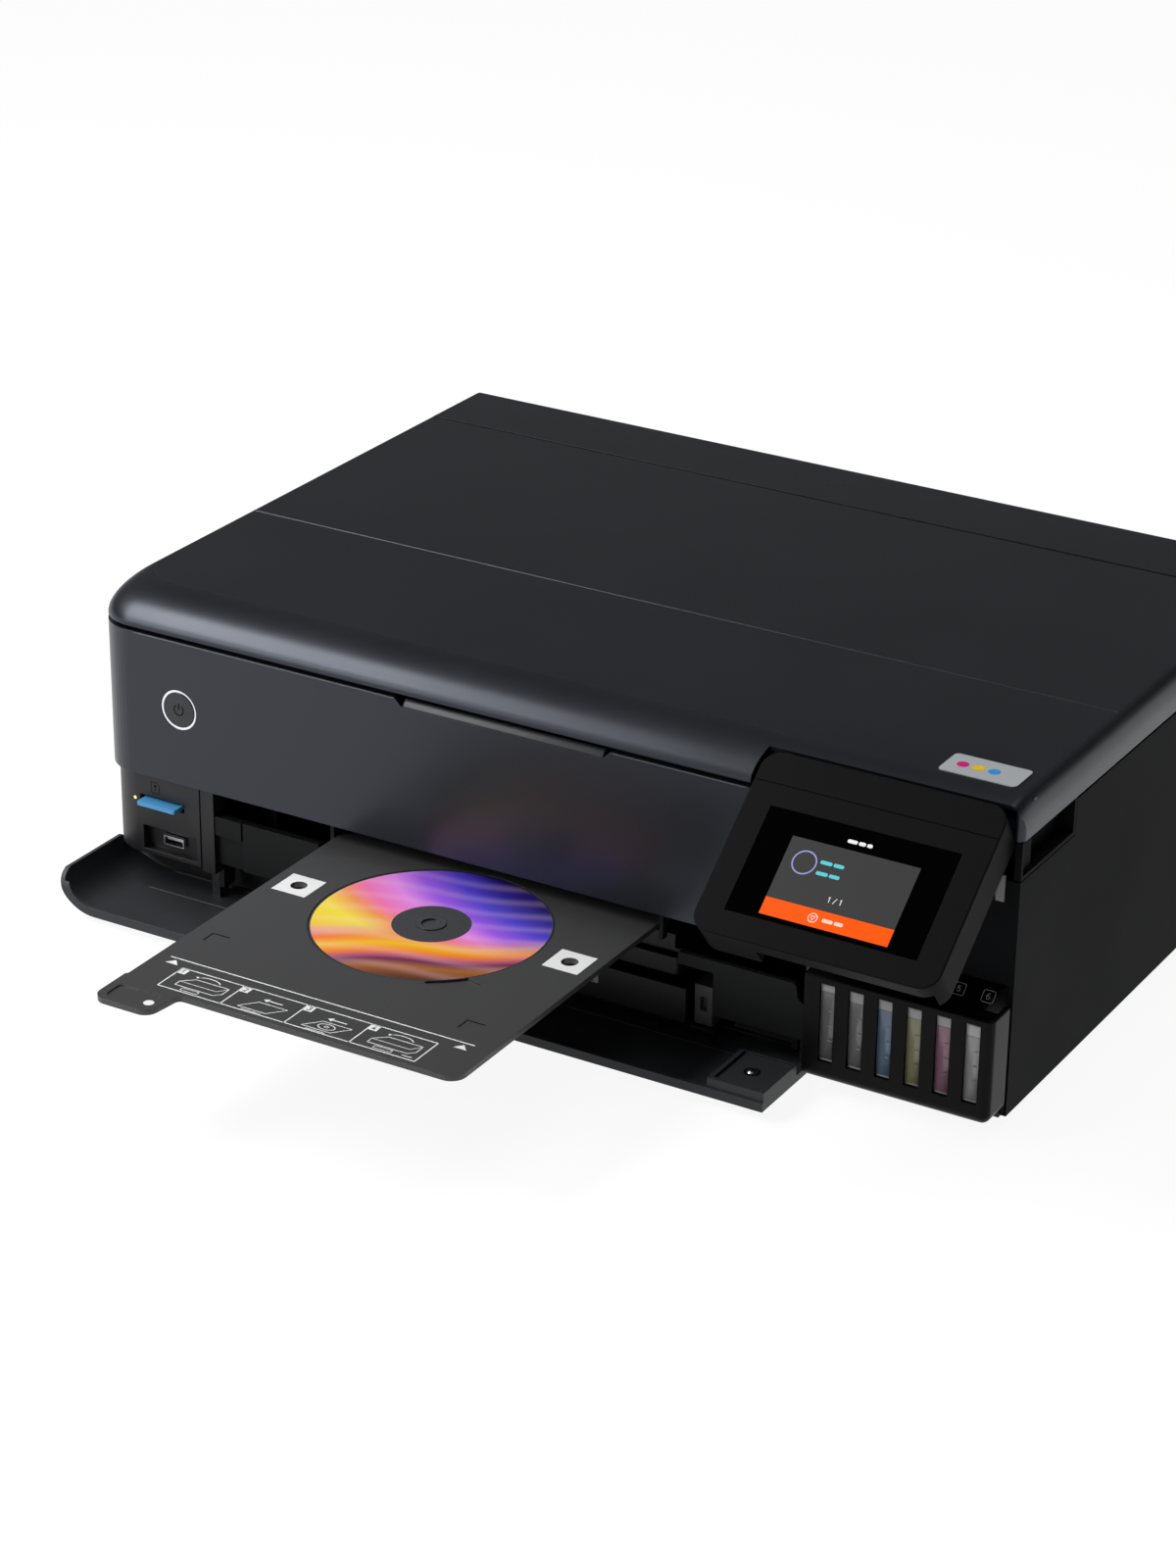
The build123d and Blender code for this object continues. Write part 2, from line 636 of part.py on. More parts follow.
def make_document_cover():
    """Hollow lid with a fine step across its top, cut away at the control panel."""
    hinge_depth, hinge_height = REAR_HINGE
    with BuildPart() as document_cover:
        add(lid_form(0.0, LID_LOW, TOP))
        add(lid_form(WALL, LID_LOW - 1, TOP - WALL), mode=Mode.SUBTRACT)
        block((NOTCH_LEFT + 1, WIDTH - WALL), (NOTCH_DEPTH - 1, 30.0), (LID_LOW - 1, TOP - WALL), Mode.SUBTRACT)
        block((NOTCH_LEFT - WALL, WIDTH - WALL), (34.0, 34.0 + WALL), (LID_LOW, TOP - WALL))
        block((-1, WIDTH + 1), (141.4, 142.6), (TOP - 0.5, TOP + 1), Mode.SUBTRACT)
        inner = WIDTH - WALL
        skirt = rounded_polygon(
            PLAN.offset(SKIRT_LOW),
            [
                ((519.2, NOTCH_DEPTH), 0.1),
                ((WIDTH, NOTCH_DEPTH), LID_CORNER),
                ((WIDTH, LID_DEPTH - 0.6), 0.5),
                ((inner, LID_DEPTH - 0.6), 0.5),
                ((inner, NOTCH_DEPTH + 3.6), 1.0),
                ((519.2, NOTCH_DEPTH + 1.8), 0.1),
            ],
        )
        extrude(skirt, amount=LID_LOW + 0.5 - SKIRT_LOW)
        for x in (60.0, 200.0, 342.0, 440.0):
            block((x, x + 1.6), (36.0, 310.0), (162.0, TOP - WALL))
        for x in (31.0, 487.0):
            block((x, x + 5), (hinge_depth - KNUCKLE, hinge_depth + KNUCKLE), (hinge_height, TOP - WALL))
            rod_across(KNUCKLE, (x, x + 5), hinge_depth, hinge_height)
            rod_across(REAR_PIN + 0.05, (x - 1, x + 6), hinge_depth, hinge_height, Mode.SUBTRACT)
        for notch in ((18.2, 30.8), (492.2, 504.8)):
            block(notch, (LID_DEPTH - WALL - 1, LID_DEPTH + 1), (LID_LOW - 1, hinge_height + 1.8), Mode.SUBTRACT)
    finish(document_cover, "document_cover")


def make_cover_mat():
    """White foam pad that presses the document on the glass."""
    (left, right), (near, far) = GLASS
    with BuildPart() as cover_mat:
        rounded_box((left - 4, right + 4), (near - 2, far + 4), (LID_LOW + 0.4, 162.0), 3.0)
    finish(cover_mat, "cover_mat")


def make_scanner_frame():
    """Scanner bed and its housing, with the side grip, hinge ears and control panel arm."""
    hinge_depth, hinge_height = REAR_HINGE
    arm_depth, arm_height = PANEL_HINGE
    low = SCANNER_LOW
    (left, right), (near, far) = GLASS
    with BuildPart() as scanner_frame:
        block((12.0, 511.0), (32.0, 318.0), (low, DECK_TOP))
        block((14.5, 508.5), (34.5, 315.5), (low + WALL, DECK_TOP - WALL), Mode.SUBTRACT)
        deck = rounded_polygon(
            PLAN.offset(PANEL_HIGH + 0.3),
            [
                ((3.0, 3.0), CORNER - 3),
                ((NOTCH_LEFT - 3, 3.0), 1.0),
                ((NOTCH_LEFT - 3, 30.0), 1.0),
                ((WIDTH - 1, 30.0), 1.0),
                ((WIDTH - 1, 321.0), 1.0),
                ((3.0, 321.0), 1.0),
            ],
        )
        extrude(deck, amount=DECK_TOP - PANEL_HIGH - 0.3)
        block((GRIP_NOTCH[0], GRIP_NOTCH[1]), (2.0, 14.0), (PANEL_HIGH, DECK_TOP + 1), Mode.SUBTRACT)
        block((left, right), (near, far), (DECK_TOP - WALL - 1, DECK_TOP + 1), Mode.SUBTRACT)
        ledge = 3.0
        block((left - ledge, right + ledge), (near - ledge, far + ledge), (DECK_TOP - WALL - 1.5, DECK_TOP - WALL))
        block((left + ledge, right - ledge), (near + ledge, far - ledge), (low + WALL, DECK_TOP), Mode.SUBTRACT)
        block((left, right), (near, far), (DECK_TOP - WALL, DECK_TOP + 1), Mode.SUBTRACT)
        for y in (80.0, 222.0):
            block((20.0, 340.0), (y, y + 2), (low + WALL, low + WALL + 1.2))
        inner = WIDTH - 12
        outer = WIDTH - 3.5
        block((inner, WIDTH), (32.0, 80.0), (SIDE_SEAM + 0.7, DECK_TOP - 2))
        block((outer, WIDTH), (18.6, 32.0), (SIDE_SEAM + 0.7, DECK_TOP))
        block((inner + 3.5, WIDTH + 1), (33.5, 77.6), (132.0, 149.6), Mode.SUBTRACT)
        block((outer + 1.2, WIDTH + 1), (20.6, 34.0), (132.0, 149.6), Mode.SUBTRACT)
        block((inner, 519.0), (32.0, 318.0), (149.6, DECK_TOP))
        block((519.0, WIDTH + 1), (17.0, 330.0), (SKIRT_LOW - 0.3, DECK_TOP + 1), Mode.SUBTRACT)
        block((2.0, WIDTH + 1), (306.0, 330.0), (153.9, DECK_TOP + 1), Mode.SUBTRACT)
        block((345.0, 505.0), (45.0, 300.0), (low - 1, low + WALL + 0.1), Mode.SUBTRACT)
        for x in (25.0, 493.0):
            block((x, x + 5), (hinge_depth - KNUCKLE, hinge_depth + KNUCKLE), (150.0, hinge_height))
            rod_across(KNUCKLE, (x, x + 5), hinge_depth, hinge_height)
            rod_across(REAR_PIN + 0.05, (x - 1, x + 6), hinge_depth, hinge_height, Mode.SUBTRACT)
            slot = x - 6.5 if x < 100 else x + 5.5
            block((slot, slot + 6), (hinge_depth - 5, hinge_depth + 5), (low - 1, DECK_TOP + 1), Mode.SUBTRACT)
        block((444.0, 466.0), (arm_depth, 32.0), (arm_height - 3.5, arm_height + 3.5))
        rod_across(3.5, (444.0, 466.0), arm_depth, arm_height)
        rod_across(2.0, (437.0, 473.0), arm_depth, arm_height)
    finish(scanner_frame, "scanner_frame")


def make_scanner_glass():
    """Glass that the document lies on, held in the bed's rebate."""
    (left, right), (near, far) = GLASS
    with BuildPart() as scanner_glass:
        block((left + 0.2, right - 0.2), (near + 0.2, far - 0.2), (DECK_TOP - WALL, DECK_TOP))
    finish(scanner_glass, "scanner_glass")


def make_scan_carriage():
    """Image sensor bar that travels under the glass."""
    (left, _), (near, far) = GLASS
    with BuildPart() as scan_carriage:
        rounded_box((left - 4, left + 14), (near - 2, far + 2), (SCANNER_LOW + WALL + 1.6, 150.6), 3.0)
        block((left + 3, left + 7), (near + 3, far - 3), (149.6, 151.0), Mode.SUBTRACT)
    finish(scan_carriage, "scan_carriage")


def make_rear_feed_cover():
    """Cover of the rear paper feed, with its hollow underside and rounded back edge."""
    side_run, side_rise = LID_SIDE_ROUND
    left_run, left_rise = LID_LEFT_ROUND
    near = 323.1
    hinge_depth, hinge_height = FEED_COVER_HINGE
    with BuildPart() as rear_feed_cover:
        with BuildSketch(FACE.offset(-BODY_REACH)):
            with BuildLine():
                Line((0, 155.0), (0, TOP - left_rise))
                EllipticalCenterArc(
                    (left_run, TOP - left_rise), left_run, left_rise, start_angle=90, arc_size=90
                )
                Line((left_run, TOP), (WIDTH - side_run, TOP))
                EllipticalCenterArc(
                    (WIDTH - side_run, TOP - side_rise), side_run, side_rise, start_angle=0, arc_size=90
                )
                Polyline((WIDTH, TOP - side_rise), (WIDTH, 155.0), (0, 155.0))
            make_face()
        extrude(amount=BODY_REACH - near)
        back = rear_feed_cover.edges().filter_by(Axis.X).group_by(Axis.Y)[-1].sort_by(Axis.Z)[-1]
        fillet(back, 5)
        hollow = (left_run + 1.5, WIDTH - side_run - 0.5)
        block(hollow, (near - 1, BODY_REACH - WALL), (154.0, TOP - WALL), Mode.SUBTRACT)
        for x in (70.0, 446.0):
            rod_across(2.6, (x, x + 8), hinge_depth, hinge_height)
            block((x, x + 8), (hinge_depth - 2.6, hinge_depth + 2.4), (hinge_height, TOP - WALL))
            rod_across(1.55, (x - 1, x + 9), hinge_depth, hinge_height, Mode.SUBTRACT)
        for x in (147.0, 374.0):
            block((x, x + 2), (328.0, 366.0), (162.0, TOP - WALL))
    finish(rear_feed_cover, "rear_feed_cover")


def make_paper_support():
    """Extension plate that slides out of the rear feed cover."""
    with BuildPart() as paper_support:
        block((149.4, 373.6), (327.0, 366.0), (163.6, 165.8))
        fillet(paper_support.edges().filter_by(Axis.Z).group_by(Axis.Y)[0], 5)
        block((240.0, 283.0), (330.0, 336.0), (162.4, 163.6))
    finish(paper_support, "paper_support")


def make_rear_feed_chute():
    """Sloping guide that carries sheets from the rear cover down to the feed roller."""
    hinge_depth, hinge_height = FEED_COVER_HINGE
    with BuildPart() as rear_feed_chute:
        ramp = polygon(SECTION.offset(90.0), (262.0, 70.0), (352.0, 153.0), (355.5, 153.0), (265.4, 70.0))
        extrude(ramp, amount=320.0)
        for x in (88.0, 410.0):
            wall = polygon(
                SECTION.offset(x),
                (262.0, 70.0),
                (322.0, 125.4),
                (322.0, 140.0),
                (355.5, 153.0),
                (355.5, 70.0),
            )
            extrude(wall, amount=2.0)
        block((88.0, 412.0), (355.5, 371.0), (70.0, 73.0))
        for x in (66.0, 442.0):
            block((x, x + 3.5), (355.5, 358.0), (120.0, hinge_height + 1.7))
            block((x, x + 3.5), (355.5, hinge_depth), (hinge_height + 0.2, hinge_height + 1.7))
            rod_across(1.7, (x, x + 3.5), hinge_depth, hinge_height)
            rod_across(1.5, (x + 1, x + 11.5), hinge_depth, hinge_height)
        for tie in ((66.0, 90.0), (410.0, 445.5)):
            block(tie, (355.5, 358.0), (120.0, 140.0))
    finish(rear_feed_chute, "rear_feed_chute")


# Control panel

def panel_plane(across, up, back):
    """A plane on the tilted control panel: x across, y up its face, z out of its face.

    across, up and back are the origin's distances from the left side, from the panel's lower
    edge, and behind its face.
    """
    tilt = radians(PANEL_TILT)
    climb = (sin(tilt), cos(tilt))
    out = (-cos(tilt), sin(tilt))
    rise = up - HINGE_FROM_BOTTOM
    ahead = HINGE_FROM_FACE - back
    y = FRONT + PANEL_HINGE[0] + rise * climb[0] + ahead * out[0]
    z = PANEL_HINGE[1] + rise * climb[1] + ahead * out[1]
    return Plane(origin=(LEFT + across, y, z), x_dir=(1, 0, 0), z_dir=(0, out[0], out[1]))


def panel_block(across, up, back, mode=Mode.ADD):
    """A box lined up with the tilted control panel."""
    base = panel_plane(across[0], up[0], back[1])
    with BuildSketch(base) as outline:
        Rectangle(across[1] - across[0], up[1] - up[0], align=(Align.MIN, Align.MIN))
    extrude(outline.sketch, amount=back[1] - back[0], mode=mode)


def make_panel_housing():
    """Control panel's housing with its screen recess, hinge notch and back pocket."""
    left, right = PANEL_ACROSS
    width = right - left
    with BuildPart() as panel_housing:
        with BuildSketch(panel_plane(left, 0.0, PANEL_THICK)) as outline:
            Rectangle(width, PANEL_LENGTH, align=(Align.MIN, Align.MIN))
            corners = outline.vertices().group_by(Axis.Z)
            fillet(corners[-1], 10)
            fillet(corners[0], 3)
        extrude(outline.sketch, amount=PANEL_THICK)
        face = panel_housing.faces().sort_by(Axis((0, 0, 0), tuple(panel_plane(left, 0, 0).z_dir)))[-1]
        fillet(face.edges(), 0.8)
        panel_block(SCREEN_ACROSS, SCREEN_UP, (-1.0, 1.4), Mode.SUBTRACT)
        panel_block((left - 1, right + 1), (81.2, 81.8), (-1.0, 0.35), Mode.SUBTRACT)
        panel_block((TANK_LEFT + 1, 515.5), (-1.0, 13.0), (9.2, PANEL_THICK + 1), Mode.SUBTRACT)
        panel_block((443.0, 467.0), (HINGE_FROM_BOTTOM - 5, PANEL_LENGTH + 1), (7.6, PANEL_THICK + 1), Mode.SUBTRACT)
        rod_across(2.05, (436.0, 474.0), *PANEL_HINGE, Mode.SUBTRACT)
        panel_block((left + 6, TANK_LEFT - 3), (6.0, 76.0), (17.5, PANEL_THICK + 1), Mode.SUBTRACT)
    finish(panel_housing, "panel_housing")


def make_panel_glass():
    """Touch screen's cover glass."""
    with BuildPart() as panel_glass:
        across = (SCREEN_ACROSS[0] + 0.15, SCREEN_ACROSS[1] - 0.15)
        panel_block(across, (SCREEN_UP[0] + 0.15, SCREEN_UP[1] - 0.15), (0.1, 1.4))
    finish(panel_glass, "panel_glass")


# Disc tray

def make_disc_tray():
    """Tray for printable discs: recess, centre boss, sighting holes and the pull tab."""
    left, right = TRAY_ACROSS
    near, far = TRAY_DEPTH
    low = TRAY_TOP - TRAY_THICK
    x, y = DISC_AT
    with BuildPart() as disc_tray:
        outline = rounded_polygon(
            PLAN.offset(low),
            [
                ((left, far), 3.0),
                ((left, near + 6), 1.0),
                ((left - 1.1, near + 6), 0.5),
                ((left - 1.1, -TRAY_REACH), 7.0),
                ((180.0, -TRAY_REACH), 7.0),
                ((182.5, near), 3.0),
                ((right, near), 8.0),
                ((right, far), 3.0),
            ],
        )
        extrude(outline, amount=TRAY_THICK)
        rod_up(DISC_RADIUS + 0.5, x, y, (TRAY_TOP - 1.4, TRAY_TOP + 1), Mode.SUBTRACT)
        rod_up(7.35, x, y, (TRAY_TOP - 1.4, TRAY_TOP + 0.4))
        rod_up(5.0, x, y, (TRAY_TOP - 0.6, TRAY_TOP + 1), Mode.SUBTRACT)
        for hole in ((164.0, -52.7), (321.3, -53.1)):
            rod_up(4.0, *hole, (low - 1, TRAY_TOP + 1), Mode.SUBTRACT)
        finger = rounded_polygon(
            PLAN.offset(TRAY_TOP - 1.4),
            [((279.0, -90.0), 1.0), ((300.0, -96.0), 5.0), ((299.0, -107.0), 5.0), ((273.0, -108.0), 1.0)],
        )
        extrude(finger, amount=2.0, mode=Mode.SUBTRACT)
        tab = rounded_polygon(
            PLAN.offset(TRAY_TOP - 0.7),
            [((152.0, -184.0), 2.0), ((176.0, -184.0), 2.0), ((176.0, -197.0), 4.0), ((152.0, -197.0), 4.0)],
        )
        extrude(tab, amount=2.0, mode=Mode.SUBTRACT)
    finish(disc_tray, "disc_tray")


def make_printed_disc():
    """Disc lying in the tray's recess, over its centre boss."""
    x, y = DISC_AT
    low = TRAY_TOP - 1.4
    with BuildPart() as printed_disc:
        rod_up(DISC_RADIUS, x, y, (low, low + 1.2))
        rod_up(7.5, x, y, (low - 1, low + 2), Mode.SUBTRACT)
    finish(printed_disc, "printed_disc")


# Cassettes and output tray

def make_lower_cassette():
    """Paper cassette with low side walls and a bevelled front."""
    low, high = 9.6, 33.0
    left, right = 139.5, 368.0
    with BuildPart() as lower_cassette:
        front = polygon(
            SECTION.offset(left),
            (5.0, 14.0),
            (8.5, low),
            (11.0, low),
            (11.0, 12.0),
            (7.5, 15.0),
            (7.5, high),
            (5.0, high),
        )
        extrude(front, amount=353.5 - left)
        block((left, right), (9.0, 302.0), (low, 11.6))
        for x in (left, right - 2):
            block((x, x + 2), (26.0 if x > 200 else 9.0, 302.0), (low, high))
        block((left, right), (300.0, 302.0), (low, high))
        block((245.0, 275.0), (4.0, 12.0), (29.0, high + 1), Mode.SUBTRACT)
    finish(lower_cassette, "lower_cassette")


def make_cassette_guides():
    """Sliding edge guides of the lower cassette; they meet the sheet's two edges."""
    for name, knob, plate in (
        ("left_cassette_guide", (142.2, 152.0), (150.0, 152.0)),
        ("right_cassette_guide", (355.4, 365.4), (355.4, 357.4)),
    ):
        with BuildPart() as guide:
            block(knob, (11.2, 26.0), (12.2, 34.0))
            block((knob[0] + 3.0, knob[1] - 3.0), (10.0, 15.0), (20.0, 27.5), Mode.SUBTRACT)
            block(plate, (26.0, 170.0), (12.2, 32.0))
            block(knob, (90.0, 130.0), (12.2, 13.6))
        finish(guide, name)


def make_upper_cassette():
    """Shallow cassette for photo paper above the lower one."""
    low, high = 35.0, 44.4
    left, right = 142.0, 345.0
    with BuildPart() as upper_cassette:
        rounded_box((left, right), (12.0, 190.0), (low, high), 3.0)
        rounded_box((left + 2, right - 2), (14.5, 188.0), (low + 2, high + 1), 2.0, Mode.SUBTRACT)
        block((230.0, 260.0), (11.0, 15.0), (high - 3, high + 1), Mode.SUBTRACT)
    finish(upper_cassette, "upper_cassette")


def make_output_tray():
    """Flat output tray, drawn in, with its raised front edge and ribs."""
    left, right = 142.0, 345.0
    with BuildPart() as output_tray:
        rounded_box((left, right), (16.0, 196.0), (45.6, 47.6), 4.0)
        block((left + 4, right - 4), (16.0, 19.0), (47.6, 55.0))
        for rib in range(7):
            x = 160.0 + 27.5 * rib
            block((x, x + 1.6), (22.0, 190.0), (47.6, 48.6))
    finish(output_tray, "output_tray")


# Printing mechanism

def make_chassis_frame():
    """Folded sheet-metal frame: two side plates and the cross plate that ties them."""
    with BuildPart() as chassis_frame:
        for x in SIDE_PLATES:
            block((x, x + PLATE), (66.0, 190.0), (12.0, 64.0))
            block((x, x + PLATE), (190.0, 240.0), (12.0, 118.0))
        right = SIDE_PLATES[1]
        block((right, right + PLATE), (66.0, 92.5), (64.0, 102.0))
        block((SIDE_PLATES[0], right + PLATE), (238.0, 240.0), (76.0, 118.0))
        rod_across(1.5, (right + PLATE, right + PLATE + 4.5), *TANK_COVER_HINGE)
        for y in (EJECT_DEPTH, FEED_DEPTH):
            rod_across(3.05, (SIDE_PLATES[0] - 1, SIDE_PLATES[0] + 3), y, ROLLER_HEIGHT, Mode.SUBTRACT)
            rod_across(3.05, (right - 1, right + 3), y, ROLLER_HEIGHT, Mode.SUBTRACT)
        rod_across(2.5, (50.5, SIDE_PLATES[0]), (EJECT_DEPTH + FEED_DEPTH) / 2, ROLLER_HEIGHT)
        for x in (SIDE_PLATES[0], right):
            block((x - 12, x + PLATE), (238.0, 240.0), (7.0, 118.0))
            block((x - 12, x), (66.0, 100.0), (7.0, 14.0))
    finish(chassis_frame, "chassis_frame")


def make_platen():
    """Ribbed bed that the paper crosses under the print head."""
    with BuildPart() as platen:
        block((72.0, 420.0), (107.5, 142.5), (56.0, 60.0))
        for rib in range(18):
            x = 80.0 + 19.5 * rib
            block((x, x + 1.5), (108.5, 141.5), (60.0, 61.4))
        block((68.0, 72.0), (115.0, 135.0), (56.0, 60.0))
        block((420.0, 424.0), (115.0, 135.0), (56.0, 60.0))
    finish(platen, "platen")


def make_carriage_rail():
    """Folded rail that the print carriage runs along."""
    with BuildPart() as carriage_rail:
        block((28.0, 514.0), (RAIL_DEPTH, RAIL_DEPTH + 2), (74.0, 112.0))
        block((28.0, 514.0), (176.0, RAIL_DEPTH + 2), (72.0, 74.0))
        block((28.0, 514.0), (RAIL_DEPTH - 6, RAIL_DEPTH + 2), (112.0, 114.0))
        rod_deep(4.0, PULLEYS[0], (RAIL_DEPTH - 1, RAIL_DEPTH + 3), BELT_HEIGHT, Mode.SUBTRACT)
        rod_deep(1.5, PULLEYS[1], (179.0, RAIL_DEPTH), BELT_HEIGHT)
    finish(carriage_rail, "carriage_rail")


def make_carriage_belt():
    """Toothed belt's closed loop round its two pulleys."""
    left, right = PULLEYS
    with BuildPart() as carriage_belt:
        with BuildSketch(FACE.offset(-184.6)) as loop:
            with Locations(((left + right) / 2, BELT_HEIGHT)):
                SlotCenterToCenter(right - left, 2 * (PULLEY_RADIUS + 1.5))
                SlotCenterToCenter(right - left, 2 * (PULLEY_RADIUS + 0.3), mode=Mode.SUBTRACT)
        extrude(loop.sketch, amount=4.2)
    finish(carriage_belt, "carriage_belt")


def make_belt_pulleys():
    """Drive pulley on the motor and idler pulley at the other end, with teeth and flanges."""
    teeth = 18
    for name, x, bore in (("drive_pulley", PULLEYS[0], 1.05), ("idler_pulley", PULLEYS[1], 1.55)):
        with BuildPart() as pulley:
            rod_deep(PULLEY_RADIUS, x, (180.0, 185.0), BELT_HEIGHT)
            rod_deep(PULLEY_RADIUS + 2.2, x, (179.2, 180.0), BELT_HEIGHT)
            rod_deep(PULLEY_RADIUS + 2.2, x, (185.0, 185.8), BELT_HEIGHT)
            for tooth in range(teeth):
                angle = 2 * pi * tooth / teeth
                out = (x + PULLEY_RADIUS * cos(angle), BELT_HEIGHT + PULLEY_RADIUS * sin(angle))
                rod_deep(0.5, out[0], (180.0, 185.0), out[1], Mode.SUBTRACT)
            rod_deep(bore, x, (178.0, 187.0), BELT_HEIGHT, Mode.SUBTRACT)
        finish(pulley, name)


def make_drive_motors():
    """Two like motors: one drives the carriage belt, the other the paper feed."""
    pinion_depth = FEED_DEPTH + GEAR_MODULE * (FEED_TEETH + PINION_TEETH) / 2
    with BuildPart() as drive_motors:
        rod_deep(15.0, PULLEYS[0], (RAIL_DEPTH + 2, RAIL_DEPTH + 34), BELT_HEIGHT)
        rod_deep(3.5, PULLEYS[0], (RAIL_DEPTH, RAIL_DEPTH + 2), BELT_HEIGHT)
        rod_deep(1.0, PULLEYS[0], (179.4, RAIL_DEPTH), BELT_HEIGHT)
        rod_across(15.0, (16.0, 48.0), pinion_depth, ROLLER_HEIGHT)
        rod_across(4.5, (48.0, 50.0), pinion_depth, ROLLER_HEIGHT)
        rod_across(1.0, (50.0, 61.0), pinion_depth, ROLLER_HEIGHT)
        block((16.0, 44.0), (pinion_depth - 15, pinion_depth + 15), (7.0, 42.0))
    finish(drive_motors, "drive_motors")


def gear_outline(plane, teeth, turn):
    """A spur gear: involute flanks with a little backlash, straight tips and roots.

    The flank's point where the string has unwound by t lies at base radius * sqrt(1 + t * t)
    from the centre, turned by t - atan(t). turn is the angle of the first tooth in degrees.
    """
    pressure = radians(20)
    pitch = GEAR_MODULE * teeth / 2
    base = pitch * cos(pressure)
    tip = pitch + 0.92 * GEAR_MODULE
    root = pitch - 1.2 * GEAR_MODULE
    backlash = 0.12 / pitch
    half = pi / (2 * teeth) - backlash / 2 + tan(pressure) - pressure
    steps = 4
    start = sqrt(max(root / base, 1.0) ** 2 - 1)
    end = sqrt((tip / base) ** 2 - 1)
    flank = []
    for step in range(steps + 1):
        t = start + (end - start) * step / steps
        flank.append((base * sqrt(1 + t * t), half - (t - atan2(t, 1))))
    points = []
    for tooth in range(teeth):
        middle = radians(turn) + 2 * pi * tooth / teeth
        rise = [(root, -flank[0][1])] + [(r, -a) for r, a in flank]
        fall = [(r, a) for r, a in reversed(flank)] + [(root, flank[0][1])]
        for r, a in rise + fall:
            points.append((r * cos(middle + a), r * sin(middle + a)))
    if root >= base:
        points = [p for i, p in enumerate(points) if i % (2 * steps + 4) not in (0, 2 * steps + 3)]
    return polygon(plane, *points)


def gear(teeth, depth, turn, bore):
    """A spur gear on the paper-feed side, centred at one depth."""
    plane = Plane(
        origin=(LEFT + GEAR_ACROSS[0], FRONT + depth, ROLLER_HEIGHT), x_dir=(0, 1, 0), z_dir=(1, 0, 0)
    )
    extrude(gear_outline(plane, teeth, turn), amount=GEAR_ACROSS[1] - GEAR_ACROSS[0])
    if bore:
        rod_across(bore, (GEAR_ACROSS[0] - 1, GEAR_ACROSS[1] + 1), depth, ROLLER_HEIGHT, Mode.SUBTRACT)


def make_rollers():
    """Feed and eject rollers: a steel shaft with a gear and grip sleeves."""
    for name, depth, sleeves in (("feed_roller", FEED_DEPTH, 5), ("eject_roller", EJECT_DEPTH, 9)):
        pitch = (410.0 - 80.0) / sleeves
        with BuildPart() as roller:
            gear(FEED_TEETH, depth, 0.0, 0)
            rod_across(3.0, (GEAR_ACROSS[0] - 1, 430.0), depth, ROLLER_HEIGHT)
            for sleeve in range(sleeves):
                x = 80.0 + pitch * sleeve
                width = pitch - 4 if name == "feed_roller" else 14.0
                rod_across(ROLLER_RADIUS, (x, x + width), depth, ROLLER_HEIGHT)
        finish(roller, name)


def make_idler_gear():
    """Gear between the two rollers' gears, so that both turn the same way."""
    half_pitch = 180 / IDLER_TEETH
    with BuildPart() as idler_gear:
        gear(IDLER_TEETH, (EJECT_DEPTH + FEED_DEPTH) / 2, half_pitch, 2.55)
    finish(idler_gear, "idler_gear")


def make_motor_pinion():
    """Small gear on the feed motor's shaft."""
    depth = FEED_DEPTH + GEAR_MODULE * (FEED_TEETH + PINION_TEETH) / 2
    with BuildPart() as motor_pinion:
        gear(PINION_TEETH, depth, 180 / PINION_TEETH, 1.05)
    finish(motor_pinion, "motor_pinion")


def make_print_carriage():
    """Carriage with its print head and, on top, a row of ink dampers, parked at the right."""
    with BuildPart() as print_carriage:
        rounded_box((400.0, 504.0), (94.5, 174.0), (70.0, 100.0), 5.0)
        for damper in range(TANKS):
            x = 403.0 + 16.5 * damper
            block((x, x + 14.5), (97.5, 160.0), (100.0, 108.0))
        block((425.0, 480.0), (108.0, 142.0), (67.2, 70.0))
        block((445.0, 459.0), (174.0, 186.4), (83.0, 94.0))
        block((444.0, 460.0), (179.4, 187.0), (87.0, 89.3), Mode.SUBTRACT)
        for x in (408.0, 482.0):
            block((x, x + 14), (172.0, 184.0), (74.4, 80.0))
    finish(print_carriage, "print_carriage")


def make_maintenance_box():
    """Removable box that takes up waste ink, with a finger grip at the back."""
    with BuildPart() as maintenance_box:
        block((440.0, 512.0), (292.0, 375.6), (12.0, 60.0))
        fillet(maintenance_box.edges().filter_by(Axis.Z), 2)
        block((462.0, 490.0), (368.0, 380.0), (30.0, 44.0), Mode.SUBTRACT)
        block((474.5, 477.5), (368.0, 375.0), (30.0, 44.0))
    finish(maintenance_box, "maintenance_box")


def make_main_board():
    """Main circuit board on its edge, with the network and USB sockets at the back."""
    with BuildPart() as main_board:
        block((8.4, 10.0), (250.0, 368.0), (16.0, 128.0))
        block((10.0, 22.0), (356.0, 375.0), (77.0, 89.0))
        block((11.8, 20.2), (364.0, 376.0), (79.0, 87.0), Mode.SUBTRACT)
        block((13.8, 18.2), (364.0, 372.0), (81.4, 84.6))
        block((10.0, 26.0), (354.0, 375.0), (99.0, 113.0))
        block((12.1, 23.9), (362.0, 376.0), (101.5, 110.0), Mode.SUBTRACT)
        for y, z, size in ((280.0, 60.0, 26.0), (320.0, 50.0, 18.0), (285.0, 100.0, 14.0)):
            block((10.0, 12.5), (y, y + size), (z, z + size))
        block((5.0, 8.4), (300.0, 306.0), (7.0, 30.0))
        block((5.0, 8.4), (360.0, 366.0), (7.0, 30.0))
    finish(main_board, "main_board")


